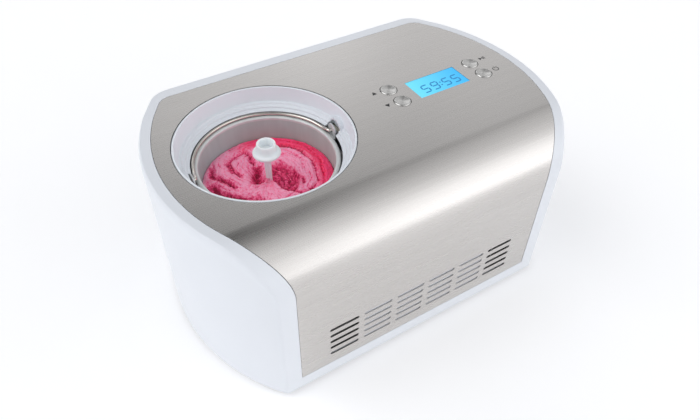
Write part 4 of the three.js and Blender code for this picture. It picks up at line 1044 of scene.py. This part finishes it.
def digit_shapes(mark, x, y, width, height, z, thick):
    """Bars of one seven-segment digit, leaning a little, whose lower left corner is (x, y)."""
    bar, lean = 1.5, 0.12
    mid = height / 2
    lines = {
        "a": ((0, height), (width, height)), "b": ((width, mid), (width, height)),
        "c": ((width, 0), (width, mid)), "d": ((0, 0), (width, 0)),
        "e": ((0, 0), (0, mid)), "f": ((0, mid), (0, height)), "g": ((0, mid), (width, mid)),
    }
    shapes = []
    for letter in SEGMENTS[mark]:
        (u0, v0), (u1, v1) = lines[letter]
        long = Vector((u1 - u0, v1 - v0)).normalized()
        side = Vector((-long.y, long.x)) * bar / 2
        start, end = Vector((u0, v0)) + long * 0.25, Vector((u1, v1)) - long * 0.25
        tip = long * bar / 2
        outline = [start, start + tip + side, end - tip + side, end, end - tip - side, start + tip - side]
        shapes.append(prism([(x + p.x + lean * p.y, y + p.y) for p in outline], z, z + thick))
    return shapes


def build_display(finish):
    low, high = box_mm("lcd_window")
    glass = make("display_glass", block(low, high), "housing", finish["display"],
                 replaces=["lcd_window"])
    shade(glass, 30, bevel=0.25)
    width, height, thick = 7.2, 11.5, 0.08
    shapes = []
    y = low.y + 5.0
    for mark, x in zip("5955", (8.5, 20.0, 34.0, 45.5)):
        shapes += digit_shapes(mark, low.x + x, y, width, height, high.z + 0.02, thick)
    for share in (0.3, 0.7):
        dot = circle(0.9, 16, low.x + 30.8 + 0.12 * share * height, y + share * height)
        shapes.append(prism(dot, high.z + 0.02, high.z + 0.02 + thick))
    digits = make("display_digits", together(*shapes), "housing", finish["segment"])
    shade(digits, 30)


def triangle(x, y, size, turn):
    return [(x + size * math.cos(math.radians(turn + k)), y + size * math.sin(math.radians(turn + k)))
            for k in (0, 120, 240)]


def build_marks(finish):
    """Printed symbols beside the buttons."""
    low, high = TOP + 0.02, TOP + 0.07
    reach = 16.0
    places = {name: middle("button_" + name).xy for name in BUTTONS}
    shapes = []
    for name, turn in (("up", 90), ("down", 270)):
        x, y = places[name]
        shapes.append(prism(triangle(x - reach, y + 1.5, 3.1, turn), low, high))
    x, y = places["start"]
    shapes.append(prism(triangle(x + reach - 0.8, y + 1.6, 2.5, 0), low, high))
    for gap in (2.6, 4.4):
        bar_x = x + reach + gap
        shapes.append(block((bar_x - 0.45, y - 0.5, low), (bar_x + 0.45, y + 3.7, high)))
    x, y = places["power"]
    x, y = x + reach + 0.3, y + 0.2
    ring = arc(x, y, 3.5, 120, 420, 32)
    inner = arc(x, y, 2.7, 420, 120, 32)
    shapes.append(prism([*ring, *inner], low, high))
    shapes.append(block((x - 0.4, y + 0.6, low), (x + 0.4, y + 3.9, high)))
    marks = make("button_marks", together(*shapes), "housing", finish["print"])
    shade(marks, 30)


# ---- CAD nodes that keep their own shape --------------------------------------------------

PIPES = ("evaporator_coil", "discharge_pipe", "liquid_pipe", "capillary_tube", "suction_pipe")


def dress_nodes(finish):
    """Gives each shown CAD node its slot's material, joined facets and rounded edges."""
    slots = {part["node"]: part["material_slot"] for part in frame["record"]["subparts"]}
    for name, node in frame["nodes"].items():
        if node.hide_render:
            continue
        node.data.materials[0] = finish[slots[name]]
        node.data.polygons.foreach_set("use_smooth", [True] * len(node.data.polygons))
        welded = node.modifiers.new("weld", "WELD")
        welded.merge_threshold = WELD
        if name in PIPES:
            rounder = node.modifiers.new("round", "SUBSURF")
            rounder.levels = rounder.render_levels = 2
            continue
        round_edges(node, 0.3, 32)
        weighted = node.modifiers.new("weighted", "WEIGHTED_NORMAL")
        weighted.keep_sharp = True


# ---- Studio --------------------------------------------------------------------------------


class Sky:
    """The studio's surroundings: brightness as a sum of soft glows by direction."""

    def __init__(self, tint):
        world = bpy.data.worlds.new("studio")
        world.use_nodes = True
        bpy.context.scene.world = world
        self.tree = world.node_tree
        self.background = self.tree.nodes["Background"]
        self.background.inputs["Color"].default_value = (*tint, 1)
        self.toward = self.tree.nodes.new("ShaderNodeTexCoord").outputs["Generated"]
        self.total = 0.0

    def math(self, operation, *values):
        made = self.tree.nodes.new("ShaderNodeMath")
        made.operation = operation
        for socket, value in zip(made.inputs, values):
            if isinstance(value, bpy.types.NodeSocket):
                self.tree.links.new(value, socket)
            else:
                socket.default_value = value
        return made.outputs[0]

    def rise(self, aim, start, end):
        """0 to 1 as the cosine to an aim goes smoothly from start to end."""
        cosine = self.tree.nodes.new("ShaderNodeVectorMath")
        cosine.operation = "DOT_PRODUCT"
        self.tree.links.new(self.toward, cosine.inputs[0])
        cosine.inputs[1].default_value = Vector(aim).normalized()
        ranged = self.tree.nodes.new("ShaderNodeMapRange")
        ranged.interpolation_type = "SMOOTHSTEP"
        self.tree.links.new(cosine.outputs["Value"], ranged.inputs["Value"])
        ranged.inputs["From Min"].default_value = start
        ranged.inputs["From Max"].default_value = end
        return ranged.outputs["Result"]

    def glow(self, amount, aim, start, end=1.0):
        """Adds light round an aim, from nothing at cosine start to the full amount at end."""
        share = self.rise(aim, start, end)
        self.total = self.math("MULTIPLY_ADD", share, amount, self.total)
        self.tree.links.new(self.total, self.background.inputs["Strength"])


FLOOR_REACH = 40000


def build_studio():
    """A wide pale floor, and glows that light the object from where a studio has its lamps."""
    floor = new_object("floor", block((-FLOOR_REACH, -FLOOR_REACH, -20), (FLOOR_REACH, FLOOR_REACH, -0.2)))
    floor.data.materials.append(moulded(
        "pale_floor", (0.86, 0.86, 0.87), 0.8, height=0.005, shift=0.99,
        Emission_Color=(1, 1, 1, 1), Emission_Strength=0.24))

    front_right = (0.6, -0.75, 0.3)
    overhead_left = (-0.5, 0.3, 0.81)
    left = (-1, 0.2, 0.5)
    rear = (0.22, 0.85, 0.48)
    rear_right = (0.60, 0.72, 0.36)
    overhead_right = (0.56, 0.42, 0.71)
    below = (0, 0, -1)
    sky = Sky((0.97, 0.98, 1.0))
    sky.glow(1.12, front_right, 0.0)
    sky.glow(0.66, front_right, 0.85)
    sky.glow(1.85, overhead_left, 0.88)
    sky.glow(1.28, left, 0.5)
    sky.glow(1.05, rear, 0.93)
    sky.glow(0.88, rear_right, 0.93)
    sky.glow(0.30, overhead_right, 0.88)
    sky.glow(0.80, below, -0.30, 0.0)
    bpy.context.scene.view_settings.view_transform = "Standard"


def clear_defaults():
    """Removes the lights and cameras that the scene starts with."""
    for thing in list(bpy.context.scene.objects):
        if thing.type in ("LIGHT", "CAMERA"):
            bpy.data.objects.remove(thing)


clear_defaults()
make_camera()
FINISH = make_materials()
build_casing(FINISH)
build_panel(FINISH)
build_collar(FINISH)
build_bowl(FINISH)
build_ear(FINISH, "left", -1)
build_ear(FINISH, "right", 1)
build_bail(FINISH)
build_paddle(FINISH)
build_ice_cream(FINISH)
build_buttons(FINISH)
build_display(FINISH)
build_marks(FINISH)
dress_nodes(FINISH)
build_studio()
